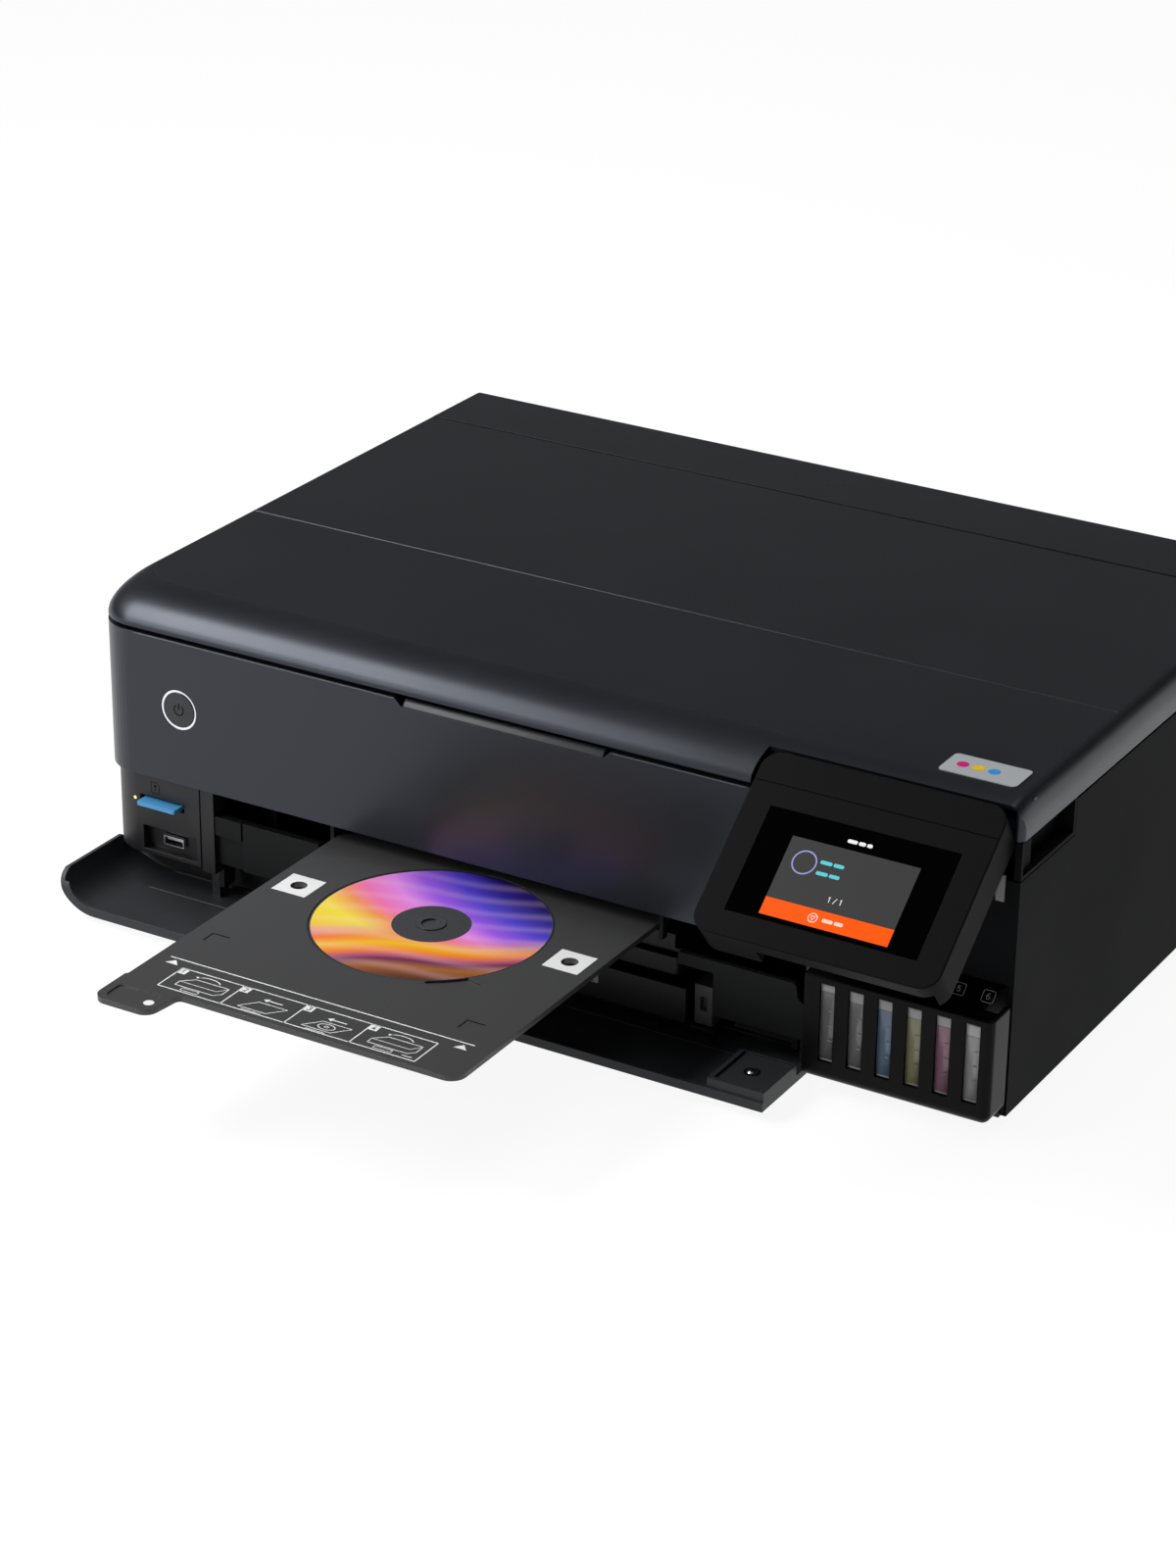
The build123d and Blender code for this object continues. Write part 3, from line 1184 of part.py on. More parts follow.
def make_power_supply():
    """Boxed power supply with the mains inlet on its back."""
    with BuildPart() as power_supply:
        block((28.0, 128.0), (304.0, 366.0), (7.0, 58.0))
        fillet(power_supply.edges().filter_by(Axis.Z), 2)
        for row in range(8):
            y = 310.0 + 6.5 * row
            block((40.0, 116.0), (y, y + 3), (54.0, 59.0), Mode.SUBTRACT)
        block((38.0, 68.0), (366.0, 375.0), (20.0, 42.0))
        block((41.0, 65.0), (362.0, 376.0), (23.0, 39.0), Mode.SUBTRACT)
        for x, z in ((46.0, 29.0), (53.0, 32.0), (60.0, 29.0)):
            block((x - 1, x + 1), (360.0, 371.0), (z - 2, z + 2))
    finish(power_supply, "power_supply")


def main():
    """Build and write every piece."""
    os.makedirs("parts", exist_ok=True)
    make_base_pan()
    make_rubber_feet()
    make_left_side_panel()
    make_right_side_panel()
    make_rear_panel()
    make_front_panel()
    make_power_button()
    make_card_panel()
    make_card_reader()
    make_memory_card()
    make_bay_frame()
    make_bay_flaps()
    make_tank_fascia()
    make_tank_label_strip()
    make_ink_tanks()
    make_tank_caps()
    make_tank_cover()
    make_front_cover()
    make_document_cover()
    make_cover_mat()
    make_scanner_frame()
    make_scanner_glass()
    make_scan_carriage()
    make_rear_feed_cover()
    make_paper_support()
    make_rear_feed_chute()
    make_panel_housing()
    make_panel_glass()
    make_disc_tray()
    make_printed_disc()
    make_lower_cassette()
    make_cassette_guides()
    make_upper_cassette()
    make_output_tray()
    make_chassis_frame()
    make_platen()
    make_carriage_rail()
    make_carriage_belt()
    make_belt_pulleys()
    make_drive_motors()
    make_rollers()
    make_idler_gear()
    make_motor_pinion()
    make_print_carriage()
    make_maintenance_box()
    make_main_board()
    make_power_supply()


main()
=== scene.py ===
"""Looks of the wide-format inkjet printer: finishes, printed marks, screen, lights and camera.
"""

import json
import logging
from dataclasses import dataclass, field
from enum import Enum
from functools import cached_property
from math import cos, pi, radians, sin

import bmesh
import bpy
import numpy as np
from mathutils import Matrix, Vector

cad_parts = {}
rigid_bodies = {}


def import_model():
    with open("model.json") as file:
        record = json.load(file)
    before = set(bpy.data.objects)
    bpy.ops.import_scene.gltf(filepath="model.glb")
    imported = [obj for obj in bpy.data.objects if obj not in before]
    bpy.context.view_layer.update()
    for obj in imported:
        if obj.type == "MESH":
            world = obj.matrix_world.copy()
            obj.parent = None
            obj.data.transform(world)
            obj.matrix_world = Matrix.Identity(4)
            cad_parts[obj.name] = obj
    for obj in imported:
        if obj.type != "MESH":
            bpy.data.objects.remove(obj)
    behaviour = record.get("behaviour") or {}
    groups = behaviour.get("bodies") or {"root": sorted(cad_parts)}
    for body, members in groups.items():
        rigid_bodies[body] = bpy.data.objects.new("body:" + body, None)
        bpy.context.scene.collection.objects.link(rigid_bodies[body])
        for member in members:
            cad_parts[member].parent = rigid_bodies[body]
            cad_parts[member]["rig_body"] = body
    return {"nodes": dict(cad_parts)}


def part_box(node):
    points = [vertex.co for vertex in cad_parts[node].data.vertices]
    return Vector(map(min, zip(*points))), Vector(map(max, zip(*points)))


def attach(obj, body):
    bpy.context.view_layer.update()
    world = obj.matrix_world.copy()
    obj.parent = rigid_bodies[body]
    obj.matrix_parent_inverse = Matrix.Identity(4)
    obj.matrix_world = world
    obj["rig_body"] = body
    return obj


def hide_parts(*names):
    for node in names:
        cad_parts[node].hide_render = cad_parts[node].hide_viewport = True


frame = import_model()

logging.basicConfig(level=logging.INFO, format="%(name)s: %(message)s")
log = logging.getLogger("printer")

MM = 0.001
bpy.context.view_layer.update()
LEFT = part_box("rear_panel")[0].x / MM
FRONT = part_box("front_panel")[0].y / MM
Array = np.ndarray
Socket = bpy.types.NodeSocket
# Edges of a finished copy that turn less than this many degrees are shaded smooth.
SMOOTH_BELOW = 35.0


class Body(Enum):
    """The moving groups that dressed pieces ride on."""

    HOUSING = "root"
    BUTTON = "power_button"
    FRONT_COVER = "front_cover"
    LID = "document_cover"
    PANEL = "control_panel"
    REAR_COVER = "rear_feed_cover"
    TRAY = "disc_tray"
    LOWER_CASSETTE = "lower_cassette"


def place(across: Array, depth: Array, height: Array) -> Array:
    """Turn drawing distances into points of the shared frame.

    Args:
        across, depth, height: distances in millimetres, numbers or arrays of one shape.

    Returns:
        An array of points in metres, with x, y and z last.
    """
    across, depth, height = np.broadcast_arrays(across, depth, height)
    return np.stack([across + LEFT, depth + FRONT, height], axis=-1) * MM


def linear(hex_colour: str) -> tuple[float, float, float, float]:
    """Turn an sRGB hex colour into linear RGBA.

    Args:
        hex_colour: six hex digits after a hash.

    Returns:
        The linear colour with an alpha of 1.
    """
    parts = np.array([int(hex_colour[i:i + 2], 16) for i in (1, 3, 5)]) / 255
    values = np.where(parts <= 0.04045, parts / 12.92, ((parts + 0.055) / 1.055) ** 2.4)
    return (*values.tolist(), 1.0)


# Finishes


class Recipe:
    """A material being put together: one Principled shader and the nodes that feed it."""

    def __init__(self, name: str) -> None:
        """Start the material.

        Args:
            name: the material's name.
        """
        self.material = bpy.data.materials.new(name)
        self.material.use_nodes = True
        self.tree = self.material.node_tree
        self.shader = self.tree.nodes["Principled BSDF"]

    @cached_property
    def where(self) -> Socket:
        """Object coordinates, which the patterns lie on."""
        return self.node("TexCoord", {}).outputs["Object"]

    def feed(self, node: bpy.types.Node, inputs: dict) -> None:
        """Set a node's inputs.

        Args:
            node: the node.
            inputs: input names or numbers, each with its value, its hex colour or the socket
                that feeds it.
        """
        for key, value in inputs.items():
            if isinstance(value, Socket):
                self.tree.links.new(value, node.inputs[key])
            else:
                node.inputs[key].default_value = linear(value) if isinstance(value, str) else value

    def node(self, kind: str, inputs: dict, **settings: str | int) -> bpy.types.Node:
        """Add a node.

        Args:
            kind: its Blender type name without the beginning that all share.
            inputs: its inputs, as feed() takes them.
            settings: its attributes with their values.

        Returns:
            The new node.
        """
        node = self.tree.nodes.new(f"ShaderNode{kind}")
        for key, value in settings.items():
            setattr(node, key, value)
        self.feed(node, inputs)
        return node

    def calculate(self, operation: str, *terms: float | Socket) -> Socket:
        """Return the result of one operation on its terms in order."""
        return self.node("Math", dict(enumerate(terms)), operation=operation).outputs[0]

    def blend(self, share: Socket, first: str | Socket, last: str | Socket) -> Socket:
        """Return two colours mixed, with so much of the last one."""
        # A mix node has three sets of sockets: the colours are inputs 6 and 7 and output 2.
        return self.node("Mix", {0: share, 6: first, 7: last}, data_type="RGBA").outputs[2]

    def noise(self, per_m: float | tuple, detail: float = 2.0, roughness: float = 0.5) -> Socket:
        """Add a noise.

        Args:
            per_m: how many cells lie in a metre, one number or one for each direction.
            detail, roughness: how many finer noises are laid over it, and how strongly.

        Returns:
            The noise's socket.
        """
        where = self.where
        if isinstance(per_m, tuple):
            where = self.node("Mapping", {"Vector": where, "Scale": per_m}).outputs["Vector"]
            per_m = 1.0
        inputs = {"Vector": where, "Scale": per_m, "Detail": detail, "Roughness": roughness}
        return self.node("TexNoise", inputs).outputs["Fac"]

    def spread(
        self, value: Socket, low: float, high: float, start: float = 0.0, end: float = 1.0
    ) -> Socket:
        """Turn a value's run from start to end into one from low to high."""
        inputs = {"From Min": start, "From Max": end, "To Min": low, "To Max": high}
        return self.node("MapRange", {"Value": value, **inputs}).outputs["Result"]

    def tint(self, colour: str, share: Socket) -> Socket:
        """Return a colour made lighter or darker by a share."""
        inputs = {0: linear(colour)[:3], "Scale": share}
        return self.node("VectorMath", inputs, operation="SCALE").outputs["Vector"]

    def bump(self, height: Socket, strength: float, depth_mm: float, base: dict) -> Socket:
        """Return normals roughened by a height, over the base's Normal where it gives one."""
        inputs = {"Strength": strength, "Distance": depth_mm * MM, "Height": height}
        return self.node("Bump", {**inputs, **base}).outputs["Normal"]

    def finish(self, inputs: dict) -> bpy.types.Material:
        """Feed the shader and return the material."""
        self.feed(self.shader, inputs)
        return self.material


@dataclass(frozen=True)
class MouldedPlastic:
    """ABS from a grained mould: soft, slightly broken highlights and a faintly rounded edge.

    The grain is a noise of grain_mm, the spark erosion of the mould's wall, and a much larger
    noise varies the roughness as handling does. A deep matt texture sends little light back at a
    mirror's angle, which gloss says, and the black pigment makes what it does send a little cool.
    """

    name: str
    colour: str
    roughness: float = 0.42
    grain_mm: float = 0.5
    grain_height_mm: float = 0.02
    edge_mm: float = 0.25
    gloss: float = 0.5
    sheen_tint: str = "#f8f8fa"
    handling_per_m: float = 14.0
    handled: tuple[float, float] = (-0.05, 0.07)

    def make(self) -> bpy.types.Material:
        """Make the material.

        Returns:
            The material.
        """
        recipe = Recipe(self.name)
        grain = recipe.noise(1 / (self.grain_mm * MM), 3.0, 0.6)
        smooth, rough = (self.roughness + change for change in self.handled)
        edge = recipe.node("Bevel", {"Radius": self.edge_mm * MM}, samples=4).outputs["Normal"]
        return recipe.finish(
            {
                "Base Color": recipe.tint(self.colour, recipe.spread(grain, 0.9, 1.08)),
                "Roughness": recipe.spread(recipe.noise(self.handling_per_m, 4.0), smooth, rough),
                "Normal": recipe.bump(grain, 0.5, self.grain_height_mm, {"Normal": edge}),
                "IOR": 1.53,
                "Specular IOR Level": self.gloss,
                "Specular Tint": self.sheen_tint,
            }
        )


@dataclass(frozen=True)
class PolishedPlastic:
    """Polished black acrylic or a screen's cover: a clear mirror over depth, with faint dust."""

    name: str
    colour: str
    roughness: float = 0.08
    coat: float = 0.3
    gloss: float = 0.5
    dust_per_m: float = 900.0
    dusty: float = 0.06

    def make(self) -> bpy.types.Material:
        """Make the material.

        Returns:
            The material.
        """
        recipe = Recipe(self.name)
        dust = recipe.noise(self.dust_per_m, 5.0)
        return recipe.finish(
            {
                "Base Color": self.colour,
                "Roughness": recipe.spread(dust, self.roughness, self.roughness + self.dusty, 0.4),
                "Specular IOR Level": self.gloss,
                "Coat Weight": self.coat,
                "Coat Roughness": 0.03,
            }
        )


@dataclass(frozen=True)
class Metal:
    """Rolled, ground or plated metal: a brushed grain that stretches highlights one way."""

    name: str
    colour: str
    roughness: float = 0.32
    brush_mm: tuple[float, float, float] = (6.0, 0.25, 0.25)
    brushed: tuple[float, float] = (-0.1, 0.12)

    def make(self) -> bpy.types.Material:
        """Make the material.

        Returns:
            The material.
        """
        recipe = Recipe(self.name)
        lines = recipe.noise(tuple(1 / (size * MM) for size in self.brush_mm), 3.0)
        smooth, rough = (self.roughness + change for change in self.brushed)
        return recipe.finish(
            {
                "Base Color": self.colour,
                "Metallic": 1.0,
                "Roughness": recipe.spread(lines, smooth, rough),
                "Normal": recipe.bump(lines, 0.3, 0.02, {}),
            }
        )


@dataclass(frozen=True)
class SleevedShaft:
    """Ground steel shaft with rubber sleeves in one node, told apart by where a point lies.

    A point is bright steel where it is nearer than radius_mm to the shaft's axis, which runs
    along X through (depth, height), and dull grey rubber elsewhere.
    """

    name: str
    depth: float
    height: float
    radius_mm: float = 4.2
    steel: str = "#b4b5b6"
    rubber: str = "#2a2a2c"

    def make(self) -> bpy.types.Material:
        """Make the material.

        Returns:
            The material.
        """
        recipe = Recipe(self.name)
        axis = place(0.0, self.depth, self.height).tolist()
        upright = {0: recipe.where, 1: (0.0, 1.0, 1.0)}
        flat = recipe.node("VectorMath", upright, operation="MULTIPLY").outputs["Vector"]
        ends = {0: flat, 1: (0.0, axis[1], axis[2])}
        reach = recipe.node("VectorMath", ends, operation="DISTANCE").outputs["Value"]
        sleeve = recipe.calculate("GREATER_THAN", reach, self.radius_mm * MM)
        return recipe.finish(
            {
                "Base Color": recipe.blend(sleeve, self.steel, self.rubber),
                "Metallic": recipe.spread(sleeve, 1.0, 0.0),
                "Roughness": recipe.spread(sleeve, 0.28, 0.7),
            }
        )


@dataclass(frozen=True)
class LitMark:
    """A lit part of the screen or a lamp: it glows a little, so it reads the same in any light."""

    name: str
    colour: str
    strength: float = 1.0

    def make(self) -> bpy.types.Material:
        """Make the material."""
        glow = {"Emission Color": self.colour, "Emission Strength": self.strength}
        return Recipe(self.name).finish({"Base Color": "#000000", "Roughness": 0.2, **glow})


@dataclass(frozen=True)
class PrintedInk:
    """Pad-printed or screen-printed ink: flat colour with a slightly uneven film."""

    name: str
    colour: str
    roughness: float = 0.45
    gloss: float = 0.3
    film_per_m: float = 1500.0

    def make(self) -> bpy.types.Material:
        """Make the material.

        Returns:
            The material.
        """
        recipe = Recipe(self.name)
        film = recipe.spread(recipe.noise(self.film_per_m), 0.93, 1.03)
        colour = recipe.tint(self.colour, film)
        rest = {"Roughness": self.roughness, "Specular IOR Level": self.gloss}
        return recipe.finish({"Base Color": colour, **rest})


@dataclass(frozen=True)
class InkWindow:
    """Translucent moulded polypropylene with ink behind it.

    Below level_mm the wall takes the ink's colour and above it the pale colour of the empty
    tank, with a thin darker line where the ink meets the wall. Fine vertical streaks are the
    flow marks that such a wall shows.
    """

    name: str
    ink: str
    level_mm: float
    empty: str = "#a6a6a5"
    reach_mm: float = 8.0
    streaks_per_m: tuple[float, float, float] = (900.0, 900.0, 130.0)

    def make(self) -> bpy.types.Material:
        """Make the material.

        Returns:
            The material.
        """
        recipe = Recipe(self.name)
        height = recipe.node("SeparateXYZ", {"Vector": recipe.where}).outputs["Z"]
        low, high = ((self.level_mm + reach) * MM for reach in (-self.reach_mm, self.reach_mm))
        rise = recipe.spread(height, 0.0, 1.0, low, high)
        shades = recipe.node("ValToRGB", {"Fac": rise})
        ink, empty = linear(self.ink), linear(self.empty)
        meniscus = (*(0.55 * value for value in ink[:3]), 1.0)
        stops = shades.color_ramp.elements
        stops[0].color, stops[1].color = ink, empty
        for position, colour in ((0.47, ink), (0.49, meniscus), (0.53, empty)):
            stops.new(position).color = colour
        streaks = recipe.noise(self.streaks_per_m)
        return recipe.finish(
            {
                "Base Color": shades.outputs["Color"],
                "Normal": recipe.bump(streaks, 0.35, 0.12, {}),
                "Roughness": 0.3,
                "Coat Weight": 0.25,
            }
        )


@dataclass(frozen=True)
class PopulatedBoard:
    """Circuit board: glossy green laminate, black chips on its face, tinned sockets at its back.

    A point is on the face where it lies right of face_mm, and on a socket where it is there and
    behind sockets_mm too. Tin makes the sockets shine softly, while the chips are matt.
    """

    name: str
    face_mm: float = 10.05
    sockets_mm: float = 350.0
    laminate: str = "#0e4a26"
    chip: str = "#141415"
    tin: str = "#8f9194"

    def make(self) -> bpy.types.Material:
        """Make the material.

        Returns:
            The material.
        """
        recipe = Recipe(self.name)
        parts = recipe.node("SeparateXYZ", {"Vector": recipe.where}).outputs
        right, back, _ = place(self.face_mm, self.sockets_mm, 0.0).tolist()
        raised = recipe.calculate("GREATER_THAN", parts["X"], right)
        at_back = recipe.calculate("GREATER_THAN", parts["Y"], back)
        tinned = recipe.calculate("MULTIPLY", raised, at_back)
        bare = recipe.blend(raised, self.laminate, self.chip)
        colour = recipe.blend(tinned, bare, self.tin)
        return recipe.finish({"Base Color": colour, "Metallic": tinned, "Roughness": 0.38})


@dataclass(frozen=True)
class DiscPrint:
    """Printed polycarbonate disc: soft waves of colour from gold over pink to violet.

    Two directions lie in the disc, u to the right and v away. Slow sines bend both: along is
    u + lean v + bend_by_mm sin(v / bend_mm), and away is v + swell_by_mm sin(u / swell_mm).
    The first runs through a ramp from gold to violet, the sky, and the second through one from
    the brown and orange of the near waves, so that the near rim is darker. A third sine lays
    pale crests across. Inside hub_mm the disc is clear and shows the tray.
    """

    name: str
    centre: tuple[float, float] = (242.8, -53.5)
    radius_mm: float = 60.0
    rim_mm: float = 0.8
    hub_mm: float = 19.7
    clear: str = "#3c3c3e"
    right: tuple[float, float] = (0.88, 0.475)
    bend_mm: float = 17.0
    bend_by_mm: float = 5.0
    lean: float = 0.6
    swell_mm: float = 15.0
    swell_by_mm: float = 3.0
    sky_mm: float = 138.0
    near_mm: float = 52.0
    near_start: float = 1.12
    change_lean: float = 0.14
    change_mm: float = 16.0
    change_start: float = 1.5
    crest_mm: float = 5.5
    crest_lean: float = 0.05
    crest_share: float = 0.14
    crest_colour: str = "#ffd9e6"
    sky: tuple[tuple[float, str], ...] = (
        (0.0, "#ffcf00"),
        (0.24, "#ffe93c"),
        (0.36, "#ff9a58"),
        (0.44, "#ff78b8"),
        (0.56, "#f090f4"),
        (0.67, "#a45cf4"),
        (0.8, "#5846e0"),
        (0.92, "#3a2aa4"),
        (1.0, "#2a1c78"),
    )
    near: tuple[tuple[float, str], ...] = (
        (0.0, "#5a2c12"),
        (0.22, "#a8621e"),
        (0.34, "#6a1f4c"),
        (0.42, "#c65a74"),
        (0.52, "#ff8d12"),
        (0.66, "#ffc410"),
        (0.82, "#ff7a34"),
        (1.0, "#e85ad0"),
    )

    def make(self) -> bpy.types.Material:
        """Make the material.

        Returns:
            The material.
        """
        recipe = Recipe(self.name)
        values = self.waves(recipe)
        ramps = {}
        for name, stops in (("sky", self.sky), ("near", self.near)):
            ramp = recipe.node("ValToRGB", {"Fac": values[name]})
            elements = ramp.color_ramp.elements
            elements[0].color, elements[1].color = linear(stops[0][1]), linear(stops[-1][1])
            for position, colour in stops[1:-1]:
                elements.new(position).color = linear(colour)
            ramps[name] = ramp.outputs["Color"]
        colour = recipe.blend(values["change"], ramps["near"], ramps["sky"])
        colour = recipe.blend(values["pale"], colour, self.crest_colour)
        colour = recipe.blend(values["shown"], self.clear, colour)
        coat = {"Coat Weight": 0.4, "Coat Roughness": 0.12}
        return recipe.finish({"Base Color": colour, "Roughness": 0.22, **coat})

    def waves(self, recipe: Recipe) -> dict[str, Socket]:
        """Work out the waves, one sum after another.

        Args:
            recipe: the material.

        Returns:
            The sums by name. Of these sky and near are places on the two ramps, change is the
            sky's share over the near waves, pale the crests' and shown the print's.
        """
        x, y, _ = place(*self.centre, 0.0).tolist()
        shift = {0: recipe.where, 1: (1.0, 1.0, 0.0), 2: (-x, -y, 0.0)}
        flat = recipe.node("VectorMath", shift, operation="MULTIPLY_ADD").outputs["Vector"]
        reach = recipe.node("VectorMath", {0: flat}, operation="LENGTH").outputs["Value"]
        values = {"reach": reach}
        east, north = self.right
        for name, way in (("u", (east, north, 0.0)), ("v", (-north, east, 0.0))):
            share = recipe.node("VectorMath", {0: flat, 1: way}, operation="DOT_PRODUCT")
            values[name] = share.outputs["Value"]
        for name, operation, *terms in (
            ("u", "DIVIDE", "u", MM),
            ("v", "DIVIDE", "v", MM),
            ("bend", "DIVIDE", "v", self.bend_mm),
            ("bend", "SINE", "bend"),
            ("bend", "MULTIPLY_ADD", "bend", self.bend_by_mm, "u"),
            ("along", "MULTIPLY_ADD", "v", self.lean, "bend"),
            ("sky", "MULTIPLY_ADD", "along", 1 / self.sky_mm, 0.5),
            ("swell", "DIVIDE", "u", self.swell_mm),
            ("swell", "SINE", "swell"),
            ("away", "MULTIPLY_ADD", "swell", self.swell_by_mm, "v"),
            ("near", "MULTIPLY_ADD", "away", 1 / self.near_mm, self.near_start),
            ("change", "MULTIPLY_ADD", "u", self.change_lean, "away"),
            ("change", "MULTIPLY_ADD", "change", 1 / self.change_mm, self.change_start),
            ("change", "MAXIMUM", "change", 0.0),
            ("change", "SMOOTH_MIN", "change", 1.0, 0.3),
            ("crest", "DIVIDE", "away", self.crest_mm),
            ("crest", "MULTIPLY_ADD", "along", self.crest_lean, "crest"),
            ("crest", "SINE", "crest"),
            ("crest", "ABSOLUTE", "crest"),
            ("crest", "POWER", "crest", 4.0),
            ("pale", "MULTIPLY", "crest", self.crest_share),
            ("printed", "GREATER_THAN", "reach", self.hub_mm * MM),
            ("inside", "LESS_THAN", "reach", (self.radius_mm - self.rim_mm) * MM),
            ("shown", "MULTIPLY", "printed", "inside"),
        ):
            terms = (values.get(term, term) for term in terms)
            values[name] = recipe.calculate(operation, *terms)
        return values


class Stock:
    """Every finish, made once and handed out by name."""

    def __init__(self) -> None:
        """Make the finishes."""
        finishes = (
            *self.black_mouldings(),
            *self.other_mouldings(),
            *self.glass_and_metal(),
            *self.prints_and_lights(),
            *self.ink_windows(),
        )
        self.materials = {finish.name: finish.make() for finish in finishes}

    def __getitem__(self, name: str) -> bpy.types.Material:
        """Return the finish of that name."""
        return self.materials[name]

    def black_mouldings(self) -> tuple[MouldedPlastic, ...]:
        """Black ABS of the casing and bay, from fine satin on the covers to near matt at the sides.

        Returns:
            The finishes.
        """
        cool = "#e0e8fa"
        return (
            # Satin front and lid: a broad, cool, even sheen.
            MouldedPlastic(
                "casing_plastic", "#1c1e22", 0.3, grain_mm=0.6, grain_height_mm=0.012, sheen_tint=cool
            ),
            MouldedPlastic(
                "lid_plastic",
                "#131417",
                0.33,
                grain_mm=0.6,
                grain_height_mm=0.012,
                gloss=0.55,
                sheen_tint=cool,
            ),
            # Coarse matt sides: they stay black at every angle.
            MouldedPlastic(
                "side_plastic", "#18191b", 0.6, grain_mm=0.6, grain_height_mm=0.03, gloss=0.04
            ),
            # Plain dark grey mouldings of the bay, with soft low highlights.
            MouldedPlastic(
                "dark_plastic", "#1b1b1c", grain_height_mm=0.015, edge_mm=0.4, gloss=0.3
            ),
            MouldedPlastic(
                "bay_plastic", "#1c1c1e", 0.4, grain_height_mm=0.015, edge_mm=0.4, gloss=0.35
            ),
            MouldedPlastic("flap_plastic", "#141516", 0.5, edge_mm=0.3, gloss=0.15),
            MouldedPlastic(
                "cover_plastic", "#303235", grain_height_mm=0.015, edge_mm=0.5, gloss=0.3
            ),
            # Deep black front of the tanks, nearly without sheen.
            MouldedPlastic(
                "fascia_plastic", "#0c0c0d", 0.3, grain_height_mm=0.008, edge_mm=0.5, gloss=0.08
            ),
            # Matt frame of the control panel, which must not mirror the screen's light.
            MouldedPlastic(
                "panel_plastic",
                "#161617",
                0.45,
                grain_mm=0.4,
                grain_height_mm=0.012,
                edge_mm=0.4,
                gloss=0.03,
            ),
            MouldedPlastic(
                "button_plastic", "#1b1d21", 0.27, grain_mm=0.6, grain_height_mm=0.012, edge_mm=0.3
            ),
            # Paler floor of the finger notch: painted light, lighter than the casing so that it looks
            # lit under the lid's overhang.
            MouldedPlastic("notch_painted_light", "#34363a", 0.4, edge_mm=0.3),
        )

    def other_mouldings(self) -> tuple[MouldedPlastic, ...]:
        """Grey, blue and white mouldings, rubber and foam.

        Returns:
            The finishes.
        """
        return (
            # Smooth grey ABS of the tray and guides: an even, soft sheen.
            MouldedPlastic("tray_plastic", "#404040", 0.33, grain_height_mm=0.01, edge_mm=0.3),
            MouldedPlastic("guide_plastic", "#5c5c5c", 0.45, edge_mm=0.3),
            MouldedPlastic("stay_plastic", "#9a9a98", 0.45, grain_height_mm=0.01),
            MouldedPlastic("waste_box", "#3c3d40", 0.45, grain_mm=0.6),
            # Memory card: a clear blue with crisp edges.
            MouldedPlastic(
                "card_blue", "#4f9fd8", 0.4, grain_mm=0.4, grain_height_mm=0.01, edge_mm=0.3
            ),
            # Acetal gears: creamy white with a waxy sheen.
            MouldedPlastic("gear_white", "#d8d6cc", 0.4, grain_height_mm=0.01),
            # Rubber feet and belt: dull black without highlights.
            MouldedPlastic("rubber_black", "#101010", 0.75, grain_mm=0.8, grain_height_mm=0.05),
            MouldedPlastic("belt_rubber", "#17171a", 0.7, grain_mm=0.6, grain_height_mm=0.04),
            # Foam mat: off-white with visible open cells.
            MouldedPlastic("foam_white", "#e4e4e0", 0.7, grain_mm=1.2, grain_height_mm=0.1),
        )

    def glass_and_metal(self) -> tuple:
        """Polished faces, metals, rollers and the circuit board.

        Returns:
            The finishes.
        """
        return (
            PolishedPlastic("label_gloss", "#050506", 0.1, coat=0.1, gloss=0.3),
            # Screen glass: black until it is lit, with only a faint mirror.
            PolishedPlastic("screen_glass", "#010101", 0.05, coat=0.0, gloss=0.1),
            PolishedPlastic("scanner_glass", "#1c2224", 0.02, coat=0.6),
            Metal("plated_steel", "#a8a9aa", 0.35),
            Metal("bright_steel", "#d5d6d8", 0.25),
            SleevedShaft("feed_roller", 150.0, 55.5),
            SleevedShaft("eject_roller", 100.0, 55.5),
            PopulatedBoard("circuit_board"),
        )

    def prints_and_lights(self) -> tuple:
        """Printed marks, the disc's print, and what glows.

        Returns:
            The finishes.
        """
        return (
            PrintedInk("badge_silver", "#b6babd", 0.3),
            PrintedInk("white_print", "#f2f2f2"),
            PrintedInk("grey_print", "#a9abad"),
            # Deep matt black, which stays darker than the satin round it: print, and also painted shade
            # in the cover screw's recess and seat.
            PrintedInk("black_print_and_shade", "#08080a", 0.6, 0.05),
            # Lighter grey painted as highlights: the cover's crease and the rear cover's pressed mark.
            PrintedInk("painted_highlight_grey", "#34363a"),
            # Pale grey painted on the front panel's upper edge as its highlight.
            PrintedInk("painted_edge_highlight", "#72757a", 0.4),
            PrintedInk("dot_magenta", "#d8127c"),
            PrintedInk("dot_yellow", "#f3c812"),
            PrintedInk("dot_blue", "#2a9be0"),
            DiscPrint("disc_print"),
            LitMark("ring_light", "#f4f4ff"),
            LitMark("lamp_light", "#fff0a8", 1.2),
            LitMark("screen_orange", "#ff5a00"),
            LitMark("screen_grey", "#3c3c3c"),
            LitMark("screen_white", "#f2f2f2"),
            LitMark("screen_pale", "#ffd7c2"),
            LitMark("screen_cyan", "#5fd0d8"),
            LitMark("screen_blue", "#9ea3dc"),
        )

    def ink_windows(self) -> tuple[InkWindow, ...]:
        """The tank windows from left to right: the inks' dark tints, muted by the milky wall.

        Returns:
            The finishes.
        """
        return (
            InkWindow("ink_tank_1", "#6c6c6c", 57.0),
            InkWindow("ink_tank_2", "#747474", 55.0),
            InkWindow("ink_tank_3", "#64798c", 55.5),
            InkWindow("ink_tank_4", "#8a8a68", 55.5),
            InkWindow("ink_tank_5", "#91697a", 55.5),
            InkWindow("ink_tank_6", "#a2a2a2", 54.5, "#c0c0c0"),
        )


# Meshes


